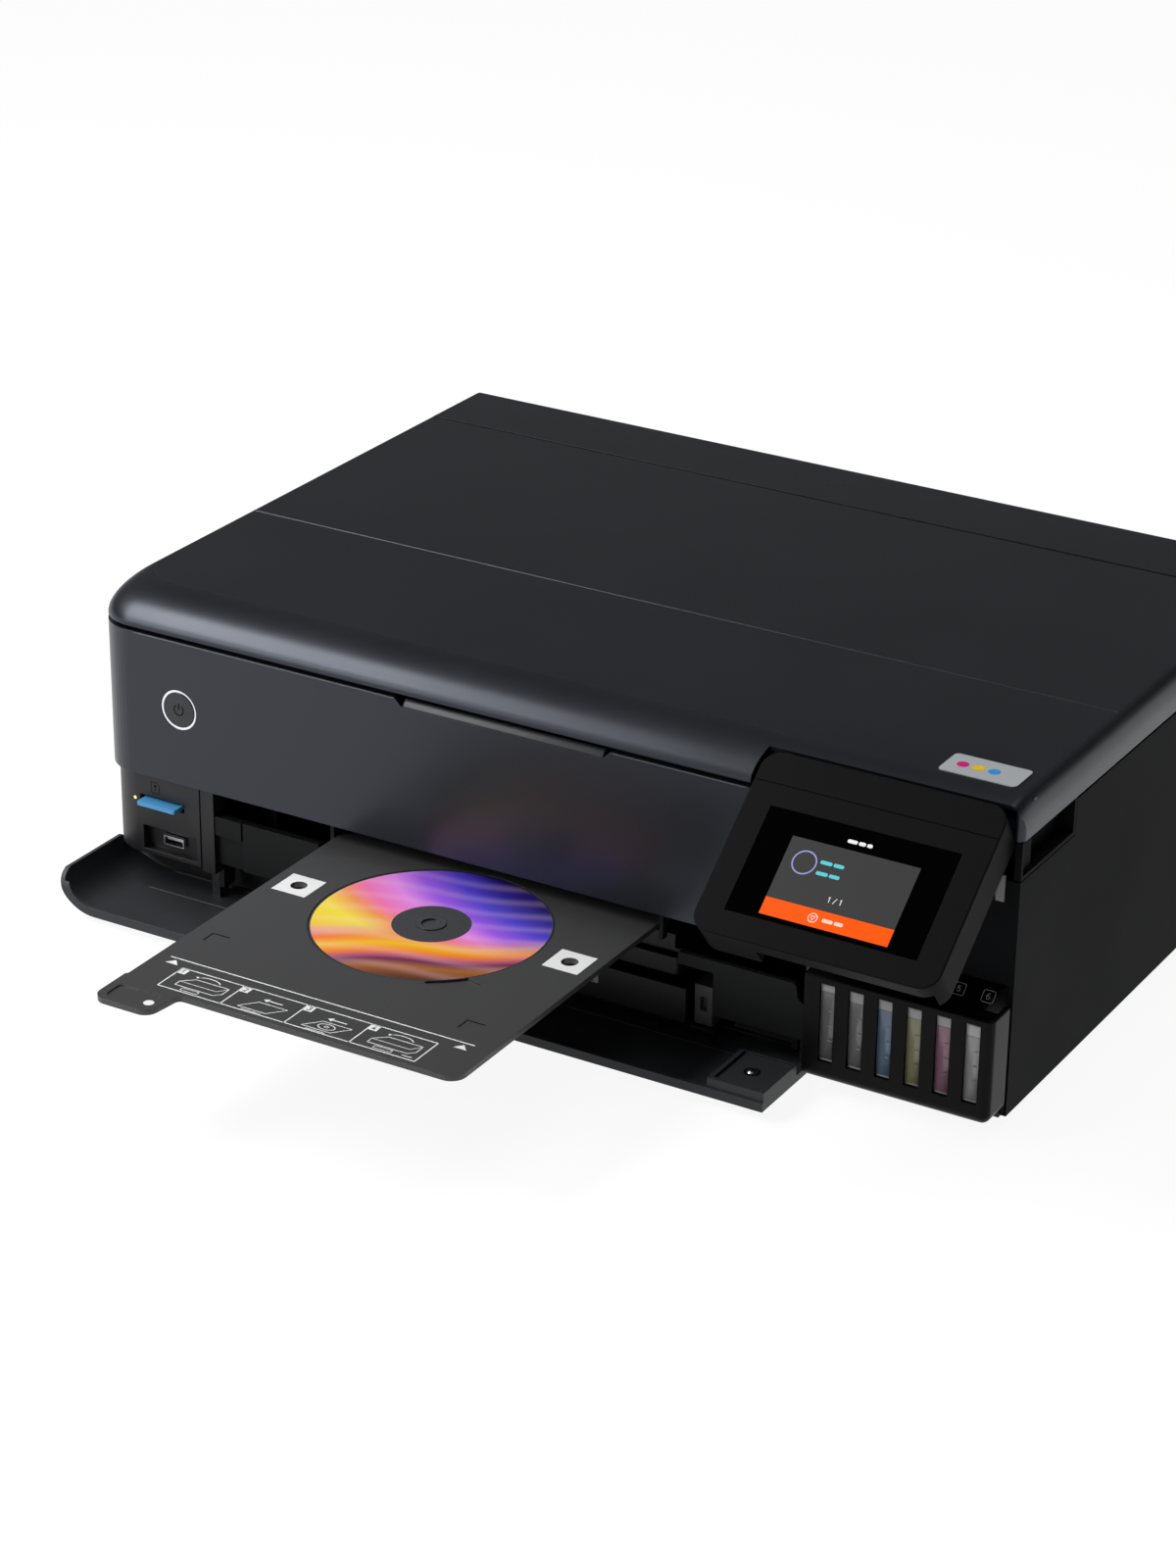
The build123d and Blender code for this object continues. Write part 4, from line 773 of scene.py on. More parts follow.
@dataclass
class Shell:
    """A mesh put together from grids, strips and flat faces, all worked out as arrays."""

    points: list[Array] = field(default_factory=list)
    faces: list[list[int]] = field(default_factory=list)
    count: int = 0

    def grid(self, points: Array, flip: bool = False) -> None:
        """Add a surface given on a grid: each cell of four neighbouring points is a face.

        Args:
            points: positions in metres, rows by columns by three.
            flip: turn the faces round.
        """
        rows, columns = points.shape[:2]
        index = np.arange(rows * columns).reshape(rows, columns) + self.count
        corners = (index[:-1, :-1], index[1:, :-1], index[1:, 1:], index[:-1, 1:])
        quads = np.stack(corners, axis=-1).reshape(-1, 4)
        self.faces += (quads[:, ::-1] if flip else quads).tolist()
        self.points.append(points.reshape(-1, 3))
        self.count += rows * columns

    def face(self, points: Array, flip: bool = False) -> None:
        """Add one flat face.

        Args:
            points: its corners in order, in metres.
            flip: turn the face round.
        """
        index = (np.arange(len(points)) + self.count).tolist()
        self.faces.append(index[::-1] if flip else index)
        self.points.append(points)
        self.count += len(points)

    def box(self, across: tuple, depth: tuple, height: tuple) -> None:
        """Add a box.

        Args:
            across, depth, height: the two drawing distances that it lies between each way.
        """
        ends = np.array(np.meshgrid(across, depth, height, indexing="ij")).reshape(3, -1)
        self.points.append(place(*ends))
        sides = np.array(
            [(0, 1, 3, 2), (4, 6, 7, 5), (0, 4, 5, 1), (2, 3, 7, 6), (0, 2, 6, 4), (1, 5, 7, 3)]
        )
        self.faces += (sides + self.count).tolist()
        self.count += 8

    def build(
        self,
        name: str,
        material: bpy.types.Material,
        body: Body,
        slot: str,
        smooth: float = 0.0,
        merge: bool = True,
        recalculate: bool = False,
    ) -> bpy.types.Object:
        """Make the object, in place, with its origin at the frame's.

        Args:
            name: the piece's name.
            material: its finish.
            body: what it rides on.
            slot: the record's material slot; not used.
            smooth: the angle in degrees below which edges are shaded smooth, 0 for none.
            merge: join points that coincide.
            recalculate: turn all faces of a closed shape outwards.

        Returns:
            The new object.
        """
        mesh = bpy.data.meshes.new(name)
        mesh.from_pydata(np.concatenate(self.points).tolist(), [], self.faces)
        if merge or recalculate:
            work = bmesh.new()
            work.from_mesh(mesh)
            bmesh.ops.remove_doubles(work, verts=work.verts, dist=0.005 * MM)
            if recalculate:
                bmesh.ops.recalc_face_normals(work, faces=work.faces)
            work.to_mesh(mesh)
            work.free()
        return dress(mesh, name, material, body.value, smooth)


def dress(
    mesh: bpy.types.Mesh,
    name: str,
    material: bpy.types.Material,
    body: str,
    smooth: float,
) -> bpy.types.Object:
    """Turn a mesh into a piece that rides on a body.

    Args:
        mesh: the finished mesh, in the shared frame.
        name: the piece's name.
        material: its finish.
        body: the name of the body that it rides on.
        smooth: the angle in degrees below which edges are shaded smooth.

    Returns:
        The new object.
    """
    mesh.materials.clear()
    mesh.materials.append(material)
    if smooth:
        mesh.polygons.foreach_set("use_smooth", np.ones(len(mesh.polygons), bool))
        mesh.set_sharp_from_angle(angle=radians(smooth))
    piece = bpy.data.objects.new(name, mesh)
    bpy.context.scene.collection.objects.link(piece)
    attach(piece, body)
    log.info("%s: %d faces", name, len(mesh.polygons))
    return piece


def soften(piece: bpy.types.Object, width_mm: float) -> None:
    """Round a piece's edges, as a mould does, and weight its normals to the large faces.

    Args:
        piece: the piece.
        width_mm: how wide the rounding is.
    """
    bevel = piece.modifiers.new("rounded_edges", "BEVEL")
    bevel.width = width_mm * MM
    bevel.segments = 2
    bevel.limit_method = "ANGLE"
    bevel.angle_limit = radians(SMOOTH_BELOW)
    bevel.miter_outer = "MITER_ARC"
    weights = piece.modifiers.new("even_normals", "WEIGHTED_NORMAL")
    weights.keep_sharp = True


def finished_copy(node: str, finish: bpy.types.Material, width_mm: float) -> None:
    """Stand for a CAD node with a merged copy of it whose edges are rounded.

    Args:
        node: the node's name.
        finish: the copy's finish.
        width_mm: how wide its edges are rounded, 0 for sharp ones.
    """
    source = frame["nodes"][node]
    work = bmesh.new()
    work.from_mesh(source.data)
    bmesh.ops.remove_doubles(work, verts=work.verts, dist=0.002 * MM)
    mesh = bpy.data.meshes.new(f"{node}_body")
    work.to_mesh(mesh)
    work.free()
    piece = dress(mesh, mesh.name, finish, source["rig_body"], SMOOTH_BELOW)
    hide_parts(node)
    if width_mm:
        soften(piece, width_mm)


def paint(node: str, finish: bpy.types.Material) -> None:
    """Give a CAD node that stays in view its finish."""
    for holder in frame["nodes"][node].material_slots:
        holder.material = finish


# Marks on a flat face


@dataclass
class Face:
    """A flat face to print on: its origin and its two directions, in drawing distances."""

    origin: tuple[float, float, float]
    along: tuple[float, float, float]
    up: tuple[float, float, float]
    lift_mm: float = 0.04

    def at(self, flat: Array, lift: float = 0.0) -> Array:
        """Work out points of the face.

        Args:
            flat: two distances each, along and up.
            lift: how far they are raised off the face beyond its own lift.

        Returns:
            The points in metres.
        """
        along, up = np.array(self.along), np.array(self.up)
        out = np.cross(along, up)
        flat = np.asarray(flat, float)
        spots = (
            np.array(self.origin)
            + flat[..., :1] * along
            + flat[..., 1:2] * up
            + (self.lift_mm + lift) * out
        )
        return place(spots[..., 0], spots[..., 1], spots[..., 2])


def level_face(height: float, lift: float = 0.04) -> Face:
    """A face that looks up, measured across and in depth."""
    return Face((0, 0, height), (1, 0, 0), (0, 1, 0), lift)


def front_face(depth: float, lift: float = 0.04) -> Face:
    """A face that looks forwards, measured across and up."""
    return Face((0, depth, 0), (1, 0, 0), (0, 0, 1), lift)


@dataclass
class Marks:
    """Thin marks of one colour on one face: bars, lines, rings, patches and digits."""

    face: Face
    shell: Shell = field(default_factory=Shell)
    lift: float = 0.0

    def patch(self, corners: list) -> None:
        """A flat patch through corners in counter-clockwise order."""
        self.shell.face(self.face.at(np.array(corners, float), self.lift))

    def bar(self, left: float, low: float, right: float, high: float, radius: float = 0.0) -> None:
        """Add an upright rectangle.

        Args:
            left, low, right, high: its edges.
            radius: its corners' radius, 0 for sharp ones.
        """
        corners = np.array([(left, low), (right, low), (right, high), (left, high)], float)
        if radius:
            corners = round_corners(corners, [radius] * 4, 4)
        self.patch(corners)

    def frame(
        self, left: float, low: float, right: float, high: float, radius: float, line: float
    ) -> None:
        """Add the outline of a rectangle with round corners.

        Args:
            left, low, right, high: its outer edges.
            radius: its corners' outer radius.
            line: how wide the outline is.
        """
        corners = np.array([(left, low), (right, low), (right, high), (left, high)], float)
        inner = corners + np.array([(1, 1), (-1, 1), (-1, -1), (1, -1)]) * line
        outside = round_corners(corners, [radius] * 4, 4)
        inside = round_corners(inner, [max(radius - line, 0.05)] * 4, 4)
        self.loop(outside, inside)

    def loop(self, outside: Array, inside: Array) -> None:
        """A closed band between two outlines of as many points."""
        band = np.stack([np.vstack([inside, inside[:1]]), np.vstack([outside, outside[:1]])])
        self.shell.grid(self.face.at(band, self.lift))

    def ring(
        self, centre: tuple, inner: float, outer: float, start: float = 0.0, sweep: float = 360.0
    ) -> None:
        """Add a ring or a stretch of one.

        Args:
            centre: its middle.
            inner, outer: its radii.
            start, sweep: where it starts and how far it goes round, in degrees.
        """
        turn = np.radians(np.linspace(start, start + sweep, max(8, int(sweep / 7.5)) + 1))
        circle = np.stack([np.cos(turn), np.sin(turn)], axis=-1)
        band = np.stack([np.array(centre) + inner * circle, np.array(centre) + outer * circle])
        self.shell.grid(self.face.at(band, self.lift))

    def dot(self, centre: tuple, radius: float) -> None:
        """A round patch."""
        turn = np.linspace(0, 2 * pi, 32, endpoint=False)
        self.patch(np.array(centre) + radius * np.stack([np.cos(turn), np.sin(turn)], axis=-1))

    def line(self, points: list, width: float) -> None:
        """A line of even width through points, its corners mitred.

        Each point is moved half a width along the mean of its two runs' normals, divided by
        the cosine of half the turn.

        Args:
            points: the line's points in order.
            width: how wide it is.
        """
        spots = np.array(points, float)
        runs = np.diff(spots, axis=0)
        runs /= np.linalg.norm(runs, axis=1, keepdims=True)
        normals = np.stack([-runs[:, 1], runs[:, 0]], axis=-1)
        before = np.vstack([normals[:1], normals])
        after = np.vstack([normals, normals[-1:]])
        mean = before + after
        mean /= np.linalg.norm(mean, axis=1, keepdims=True)
        miter = mean / np.maximum((mean * after).sum(axis=1, keepdims=True), 0.5)
        band = np.stack([spots - miter * width / 2, spots + miter * width / 2])
        self.shell.grid(self.face.at(band, self.lift), flip=True)

    def digit(self, number: int, centre: tuple, height: float, line: float) -> None:
        """Add a plain digit, drawn as strokes in a box of 0.6 by 1 of its height.

        Args:
            number: the digit.
            centre: the box's middle.
            height: how high the digit is.
            line: how wide its strokes are.
        """
        for stroke in DIGITS[number]:
            spots = (np.array(stroke) - (0.3, 0.5)) * height + np.array(centre)
            self.line(spots.tolist(), line)

    def build(self, name: str, material: bpy.types.Material, body: Body, slot: str) -> bpy.types.Object:
        """Make the marks one piece."""
        return self.shell.build(name, material, body, slot, merge=False)


def bow(centre: tuple, across: float, up: float, start: float, end: float) -> list:
    """Work out a stretch of an ellipse.

    Args:
        centre: its middle.
        across, up: its half axes.
        start, end: the angles it lies between, in degrees.

    Returns:
        Its points.
    """
    turn = np.radians(np.linspace(start, end, 13))
    spots = np.stack([centre[0] + across * np.cos(turn), centre[1] + up * np.sin(turn)], axis=-1)
    return spots.tolist()


DIGITS = {
    1: [[(0.12, 0.8), (0.34, 1.0), (0.34, 0.0)]],
    2: [bow((0.3, 0.72), 0.26, 0.26, 170, -38) + [(0.04, 0.02), (0.58, 0.02)]],
    3: [bow((0.29, 0.74), 0.25, 0.24, 160, -88), bow((0.29, 0.27), 0.28, 0.26, 92, -160)],
    4: [[(0.44, 0.0), (0.44, 0.98), (0.03, 0.28), (0.6, 0.28)]],
    5: [[(0.54, 0.98), (0.13, 0.98), (0.09, 0.55)] + bow((0.29, 0.32), 0.27, 0.31, 118, -150)],
    6: [bow((0.36, 0.5), 0.32, 0.49, 70, 180) + [(0.04, 0.3)], bow((0.3, 0.29), 0.26, 0.28, 0, 360)],
}


def round_corners(corners: Array, radii: list[float], steps: int) -> Array:
    """Round a closed outline's corners.

    Each corner's arc has its centre on the bisector, at the radius over the sine of half the
    corner's angle, and its points turn evenly from one tangent point to the other.

    Args:
        corners: the outline's corners in order.
        radii: each corner's radius.
        steps: how many steps each arc has.

    Returns:
        The rounded outline's points.
    """
    arcs = []
    for before, corner, after, radius in zip(
        np.roll(corners, 1, axis=0), corners, np.roll(corners, -1, axis=0), radii
    ):
        back = (before - corner) / np.linalg.norm(before - corner)
        ahead = (after - corner) / np.linalg.norm(after - corner)
        half = np.arccos(np.clip(back @ ahead, -1, 1)) / 2
        middle = corner + (back + ahead) / np.linalg.norm(back + ahead) * radius / np.sin(half)
        first = corner + back * radius / np.tan(half) - middle
        last = corner + ahead * radius / np.tan(half) - middle
        turn = np.arccos(np.clip(first @ last / radius**2, -1, 1))
        share = np.linspace(0, 1, steps + 1)[:, None]
        sweep = np.sin((1 - share) * turn) * first + np.sin(share * turn) * last
        arcs.append(middle + sweep / np.sin(turn))
    return np.vstack(arcs)


# Sub-assemblies


@dataclass
class SubAssembly:
    """A group of pieces that are built and dressed together from the same finishes."""

    stock: Stock

    def finish_copies(self, wanted: dict[str, tuple[str, float]]) -> None:
        """Stand for several CAD nodes with finished copies.

        Args:
            wanted: for each node the name of its finish and the width of its edges in millimetres.
        """
        for node, (finish, width_mm) in wanted.items():
            finished_copy(node, self.stock[finish], width_mm)


@dataclass
class Lid(SubAssembly):
    """Document cover: a pillow-shaped skin over a hollow shell.

    Its edge is a quarter ellipse all round: it starts upright at the outline and ends level
    where the flat top begins. Round the front left corner both lines bend, so the ellipse
    widens smoothly from the side's run to the front's.
    """

    width: float = 523.0
    depth: float = 321.3
    top: float = 169.0
    low: float = 155.6
    shoulder: float = 156.0
    skirt_low: float = 150.0
    skirt_end: float = 320.8
    left_run: float = 5.0
    right_run: float = 8.0
    front_run: float = 33.0
    corner: float = 24.0
    top_corner: float = 26.0
    right_corner: float = 3.5
    notch: tuple[float, float] = (388.5, 18.5)
    wall: float = 2.5
    step: float = 142.0
    hinge: tuple[float, float] = (315.1, 318.9)
    ears: tuple[float, ...] = (504.8, 492.2, 30.8, 18.2)
    ear_top: float = 166.3
    front_wall: tuple[float, float] = (34.0, 36.5)
    ribs: tuple[float, ...] = (60.0, 200.0, 342.0, 440.0)
    rib_end: float = 310.0
    rib_low: float = 162.0
    rib_wall: float = 1.6
    lugs: tuple[float, ...] = (31.0, 487.0)
    lug_low: float = 162.8
    lug_wall: float = 5.0
    badge: tuple[float, float, float, float] = (469.5, 34.5, 510.3, 55.7)
    badge_corner: float = 2.6
    badge_height: float = 0.45
    dots: tuple[float, float] = (478.0, 45.1)
    dot_pitch: float = 8.2
    dot_radius: float = 3.1
    arc: Array = field(default_factory=lambda: np.linspace(0, pi / 2, 25))

    def lines(self, inset: float) -> tuple[Array, Array]:
        """The outline and the flat top's edge, from the back left round to the notch.

        Both have the same number of points: the straight side, the corner's arc and the
        straight front.

        Args:
            inset: how far the skin lies inside the outer one.

        Returns:
            The two lines' points, across and depth.
        """
        turn = np.linspace(pi, 1.5 * pi, 25)[:, None]
        circle = np.hstack([np.cos(turn), np.sin(turn)])
        outline = np.array([self.corner, self.corner]) + (self.corner - inset) * circle
        middle = (self.left_run + self.top_corner, self.front_run + self.top_corner)
        crest = np.array(middle) + self.top_corner * circle
        side = np.linspace(self.depth - inset, 90.0, 6)
        front = np.linspace(90.0, self.notch[0] - inset, 6)
        rim = np.vstack(
            [
                np.stack([np.full(6, inset), side], axis=-1),
                outline,
                np.stack([front, np.full(6, inset)], axis=-1),
            ]
        )
        crown = np.vstack(
            [
                np.stack([np.full(6, self.left_run), side], axis=-1),
                crest,
                np.stack([front, np.full(6, self.front_run)], axis=-1),
            ]
        )
        return rim, crown

    def front_height(self, depth: Array, inset: float) -> Array:
        """Rise times the root of 1 - short squared, short being the share of the run still to go."""
        short = np.clip((self.front_run - depth) / (self.front_run - inset), 0, 1)
        return self.shoulder + (self.top - self.shoulder - inset) * np.sqrt(1 - short**2)

    def skin(self, shell: Shell, inset: float) -> Array:
        """Add one skin of the shell, outer or inner.

        Args:
            shell: where it is added.
            inset: how far it lies inside the outer skin.

        Returns:
            The skin's closed edge: across, depth, its height there and the wall's lower end.
            Where the lower end steps, the point is given twice.
        """
        inner = inset > 0
        rise = self.top - self.shoulder - inset
        rim, crown = self.lines(inset)
        turn = self.arc[:, None]
        across = rim[:, 0] + (crown - rim)[:, 0] * (1 - np.cos(turn))
        depth = rim[:, 1] + (crown - rim)[:, 1] * (1 - np.cos(turn))
        height = self.shoulder + rise * np.sin(turn) + 0 * across
        shell.grid(place(across, depth, height), flip=inner)
        left, back = self.notch[0] - inset, self.notch[1] + inset
        right = self.width - self.right_run
        far = self.depth - inset
        steps = np.linspace(back, self.front_run, 8)[:, None]
        spans = np.array([[left, right]])
        strip = place(spans + 0 * steps, steps + 0 * spans, self.front_height(steps, inset) + 0 * spans)
        shell.grid(strip, flip=not inner)
        # The right side: the quarter ellipse runs back from the notch, whose line a small
        # radius in plan draws back near the corner.
        edge = right + (self.right_run - inset) * np.sin(self.arc)
        fall = rise * (1 - np.cos(self.arc))
        radius = self.right_corner - inset / 3
        beyond = np.clip(edge - (self.width - inset - radius), 0, radius)
        start = back + radius - np.sqrt(radius**2 - beyond**2)
        share = np.concatenate([np.linspace(0, 1, 6), [2, 6, 12]])[:, None] / 12
        reach = start + (far - start) * share
        side = place(edge + 0 * reach, reach, self.front_height(reach, inset) - fall)
        shell.grid(side, flip=not inner)
        self.plateau(shell, inset, crown, right, far)
        return self.edge_line(inset, rim, across[:, 0], edge, start, fall)

    def edge_line(
        self, inset: float, rim: Array, left_end: Array, edge: Array, start: Array, fall: Array
    ) -> Array:
        """The skin's closed edge, once round.

        Args:
            inset: how far the skin lies inside the outer one.
            rim: the outline from the back left to the notch.
            left_end: the left ellipse's places across.
            edge, start, fall: the right ellipse's places across, where each begins in depth,
                and how far it has fallen.

        Returns:
            Rows of across, depth, the skin's height and the wall's lower end.
        """
        back, far = self.notch[1] + inset, self.depth - inset
        rise = self.top - self.shoulder - inset
        level = self.shoulder + rise
        under = float(self.front_height(self.notch[1] + self.wall, self.wall))
        bend = int(np.searchsorted(self.arc, radians(30.0)))

        def run(across: Array, depth: Array, height: Array, low: Array) -> Array:
            """One stretch of the edge as rows of its four values."""
            return np.stack(np.broadcast_arrays(across, depth, height, low), axis=-1)

        corner = run(edge, start, self.front_height(start, inset) - fall, under)
        skirt = corner[bend:].copy()
        skirt[:, 3] = self.skirt_low
        notch_side = np.linspace(inset, back, 7)
        ears = np.array(self.ears)
        lows = np.array([self.low, self.ear_top, self.ear_top, self.low] * 2)
        side = np.linspace(self.front_run, self.skirt_end - inset, 7)
        return np.vstack(
            [
                run(rim[:, 0], rim[:, 1], self.shoulder, self.low),
                run(self.notch[0] - inset, notch_side, self.front_height(notch_side, inset), self.low),
                corner[: bend + 1],
                skirt,
                run(edge[-1], side, self.shoulder, self.skirt_low),
                run(edge[-1], np.array([side[-1], far]), self.shoulder, self.low),
                run(edge[::-1], far, level - fall[::-1], self.low),
                run(np.repeat(ears, 2), far, level, lows),
                run(left_end[::-1], far, self.shoulder + rise * np.sin(self.arc[::-1]), self.low),
            ]
        )

    def plateau(self, shell: Shell, inset: float, crown: Array, right: float, far: float) -> None:
        """Add the flat top, in two parts with the fine step between them on the outer skin.

        Args:
            shell: where it is added.
            inset: how far it lies inside the outer skin.
            crown: the flat top's edge, from the back left round to the notch.
            right, far: where it ends across and in depth.
        """
        level = self.top - inset
        near = crown[crown[:, 1] < self.step]
        gap = 0.0 if inset else 0.35
        front = np.vstack(
            [near, [(right, self.front_run), (right, self.step - gap), (self.left_run, self.step - gap)]]
        )
        rear = np.array(
            [
                (self.left_run, self.step + gap),
                (right, self.step + gap),
                (right, far),
                (self.left_run, far),
            ]
        )
        shell.face(place(front[:, 0], front[:, 1], level), flip=inset > 0)
        shell.face(place(rear[:, 0], rear[:, 1], level), flip=inset > 0)
        if gap:
            profile = np.array([(-gap, 0.0), (-gap + 0.1, -0.55), (gap, 0.0)])[:, None, :]
            spans = np.array([[self.left_run, right]])
            groove = place(
                spans + 0 * profile[..., 0],
                self.step + profile[..., 0] + 0 * spans,
                level + profile[..., 1] + 0 * spans,
            )
            shell.grid(groove, flip=True)

    def build(self) -> None:
        """Make the shell, its mat and badge."""
        shell = Shell()
        outer, inner = self.skin(shell, 0.0), self.skin(shell, self.wall)
        loops = [np.vstack([loop, loop[:1]]) for loop in (outer, inner)]
        stepped = np.abs(np.diff(loops[0][:, :2], axis=0)).max(axis=1) < 0.001
        for loop, turned in zip(loops, (False, True)):
            for stretch in np.split(loop, np.flatnonzero(stepped) + 1):
                if len(stretch) > 1 and np.abs(stretch[:, 2] - stretch[:, 3]).max() > 0.01:
                    across, depth, height, low = stretch.T
                    wall = np.stack([place(across, depth, low), place(across, depth, height)])
                    shell.grid(wall, turned)
        shell.grid(np.stack([place(loop[:, 0], loop[:, 1], loop[:, 3]) for loop in loops[::-1]]))
        under = self.top - self.wall
        ends = (self.notch[0] - self.wall, self.width - self.wall)
        shell.box(ends, self.front_wall, (self.low, under))
        for across in self.ribs:
            rib_run = (self.front_wall[1], self.rib_end)
            shell.box((across, across + self.rib_wall), rib_run, (self.rib_low, under))
        for across in self.lugs:
            shell.box((across, across + self.lug_wall), self.hinge, (self.lug_low, under))
        finish = self.stock["lid_plastic"]
        piece = shell.build("document_cover_shell", finish, Body.LID, "lid_plastic", 16.0)
        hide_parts("document_cover")
        finished_copy("cover_mat", self.stock["foam_white"], 0.8)
        self.add_badge()

    def add_badge(self) -> None:
        """The raised badge at the front right with its three coloured dots."""
        left, near, right, far = self.badge
        plate = Marks(level_face(self.top, self.badge_height))
        plate.bar(left, near, right, far, self.badge_corner)
        corners = np.array([(left, near), (right, near), (right, far), (left, far)], float)
        outline = round_corners(corners, [self.badge_corner] * 4, 4)
        ring = np.vstack([outline, outline[:1]])
        sides = [plate.face.at(ring, -self.badge_height), plate.face.at(ring)]
        plate.shell.grid(np.stack(sides), flip=True)
        plate.build("lid_badge", self.stock["badge_silver"], Body.LID, "lid_plastic")
        for spot, colour in enumerate(("dot_magenta", "dot_yellow", "dot_blue")):
            dots = Marks(level_face(self.top, self.badge_height + 0.05))
            dots.dot((self.dots[0] + self.dot_pitch * spot, self.dots[1]), self.dot_radius)
            dots.build(f"lid_badge_{colour}", self.stock[colour], Body.LID, "lid_plastic")


@dataclass
class Casing(SubAssembly):
    """Fixed housing: walls, front panel with its lit button, card panel and base."""

    button: tuple[float, float] = (54.6, 115.0)
    card_mark: tuple[float, float] = (33.0, 62.2)
    lamp: tuple[float, float] = (22.3, 56.7)
    grip: tuple[float, float] = (186.3, 312.6)
    grip_inset: float = 5.2
    grip_slant: float = 1.0
    grip_start: float = 0.3
    grip_run: float = 3.9
    grip_low: float = 148.75
    grip_rise: float = 3.6
    grip_wall: float = 0.3
    stay: tuple[tuple[float, float], ...] = ((510.8, 515.4), (17.4, 18.55), (118.0, 132.0))
    highlight_span: tuple[float, float] = (28.0, 386.0)
    highlight_height: tuple[float, float] = (152.35, 152.75)
    rear_mark: tuple[float, float] = (252.0, 350.0)

    def build(self) -> None:
        """Dress the housing's nodes and print its marks."""
        self.finish_copies(
            {
                "front_panel": ("casing_plastic", 0.5),
                "left_side_panel": ("side_plastic", 0.6),
                "right_side_panel": ("side_plastic", 0.5),
                "rear_panel": ("side_plastic", 0.4),
                "power_button": ("button_plastic", 0.0),
                "card_panel": ("bay_plastic", 0.3),
                "memory_card": ("card_blue", 0.3),
                "scanner_frame": ("side_plastic", 0.4),
                "rear_feed_cover": ("lid_plastic", 0.4),
                "base_pan": ("dark_plastic", 0.4),
                "rubber_feet": ("rubber_black", 0.0),
            }
        )
        self.light_button()
        self.print_card_marks()
        self.add_stay()
        self.add_grip_face()
        self.paint_rear_mark_highlight()
        self.paint_edge_highlight()

    def light_button(self) -> None:
        """The lit ring round the power button and the mark on the button."""
        ring = Marks(front_face(0.6))
        ring.ring(self.button, 9.75, 10.95)
        ring.build("power_ring", self.stock["ring_light"], Body.HOUSING, "casing_plastic")
        mark = Marks(front_face(0.1))
        x, z = self.button
        mark.ring(self.button, 2.5, 3.15, 125.0, 290.0)
        mark.bar(x - 0.33, z + 0.2, x + 0.33, z + 3.7)
        mark.build("power_mark", self.stock["black_print_and_shade"], Body.BUTTON, "button_plastic")

    def print_card_marks(self) -> None:
        """The card's outline above its slot, the lamp beside it and the recess's marks."""
        face = front_face(2.8)
        marks = Marks(face)
        left, low = self.card_mark
        outline = [(0, 0), (0, 6), (3.6, 6), (5.2, 4.4), (5.2, 0), (0, 0)]
        marks.line([(left + x, low + y) for x, y in outline], 0.35)
        marks.line([(left + 2.6, low + 1.4), (left + 2.6, low + 4.2)], 0.35)
        marks.patch([(left + 1.6, low + 3.6), (left + 3.6, low + 3.6), (left + 2.6, low + 4.9)])
        marks.build("card_mark", self.stock["black_print_and_shade"], Body.HOUSING, "dark_plastic")
        lamp = Marks(face)
        lamp.dot(self.lamp, 0.95)
        lamp.build("card_lamp", self.stock["lamp_light"], Body.HOUSING, "dark_plastic")

    def add_grip_face(self) -> None:
        """The slanted floor of the finger notch, which leads under the document cover.

        Its height rises as the sine of a quarter turn over its depth, so that it leaves the
        front steeply and levels out behind.
        """
        left, right = self.grip
        share = np.linspace(0.0, 1.0, 9)[:, None]
        near, far = self.grip_inset, self.grip_inset + self.grip_slant
        across = np.array([[left + near, left + far, right - far, right - near]]) + 0 * share
        ends = np.array([[1.0, 0.0, 0.0, 1.0]])
        depth = self.grip_start * (1 + ends) + self.grip_run * share
        height = self.grip_low + self.grip_rise * np.sin(share * pi / 2) + 0 * across
        floor = Shell()
        floor.grid(place(across, depth, height), flip=True)
        # The notch's floor is painted paler than the casing, as painted light.
        finish = self.stock["notch_painted_light"]
        piece = floor.build("grip_floor", finish, Body.HOUSING, "casing_plastic", 50.0)
        solid = piece.modifiers.new("wall", "SOLIDIFY")
        solid.thickness, solid.offset = self.grip_wall * MM, -1.0

    def paint_edge_highlight(self) -> None:
        """A painted highlight: a pale printed line along the front panel's upper edge, standing for the
        light that the polished edge catches.
        """
        low, high = self.highlight_height
        edge = Marks(front_face(0))
        for left, right in zip((self.highlight_span[0], self.grip[1]), (self.grip[0], self.highlight_span[1])):
            edge.bar(left, low, right, high)
        edge.build("front_panel_edge_highlight", self.stock["painted_edge_highlight"], Body.HOUSING, "casing_plastic")

    def paint_rear_mark_highlight(self) -> None:
        """A plain round mark on the rear feed cover, painted a little lighter than the cover: a painted
        highlight standing for the light on a shallow pressed mark.
        """
        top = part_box("rear_feed_cover")[1].z / MM
        across, depth = self.rear_mark
        mark = Marks(level_face(top, 0.03))
        mark.ring((across, depth), 5.2, 5.8)
        for near, far in ((-12.0, -7.4), (7.4, 12.0)):
            mark.line([(across + near, depth), (across + far, depth)], 0.5)
        mark.build("rear_cover_mark_highlight", self.stock["painted_highlight_grey"], Body.REAR_COVER, "lid_plastic")

    def add_stay(self) -> None:
        """The pale stay behind the control panel's right end."""
        stay = Shell()
        stay.box(*self.stay)
        piece = stay.build("panel_stay", self.stock["stay_plastic"], Body.HOUSING, "casing_plastic")
        soften(piece, 0.3)


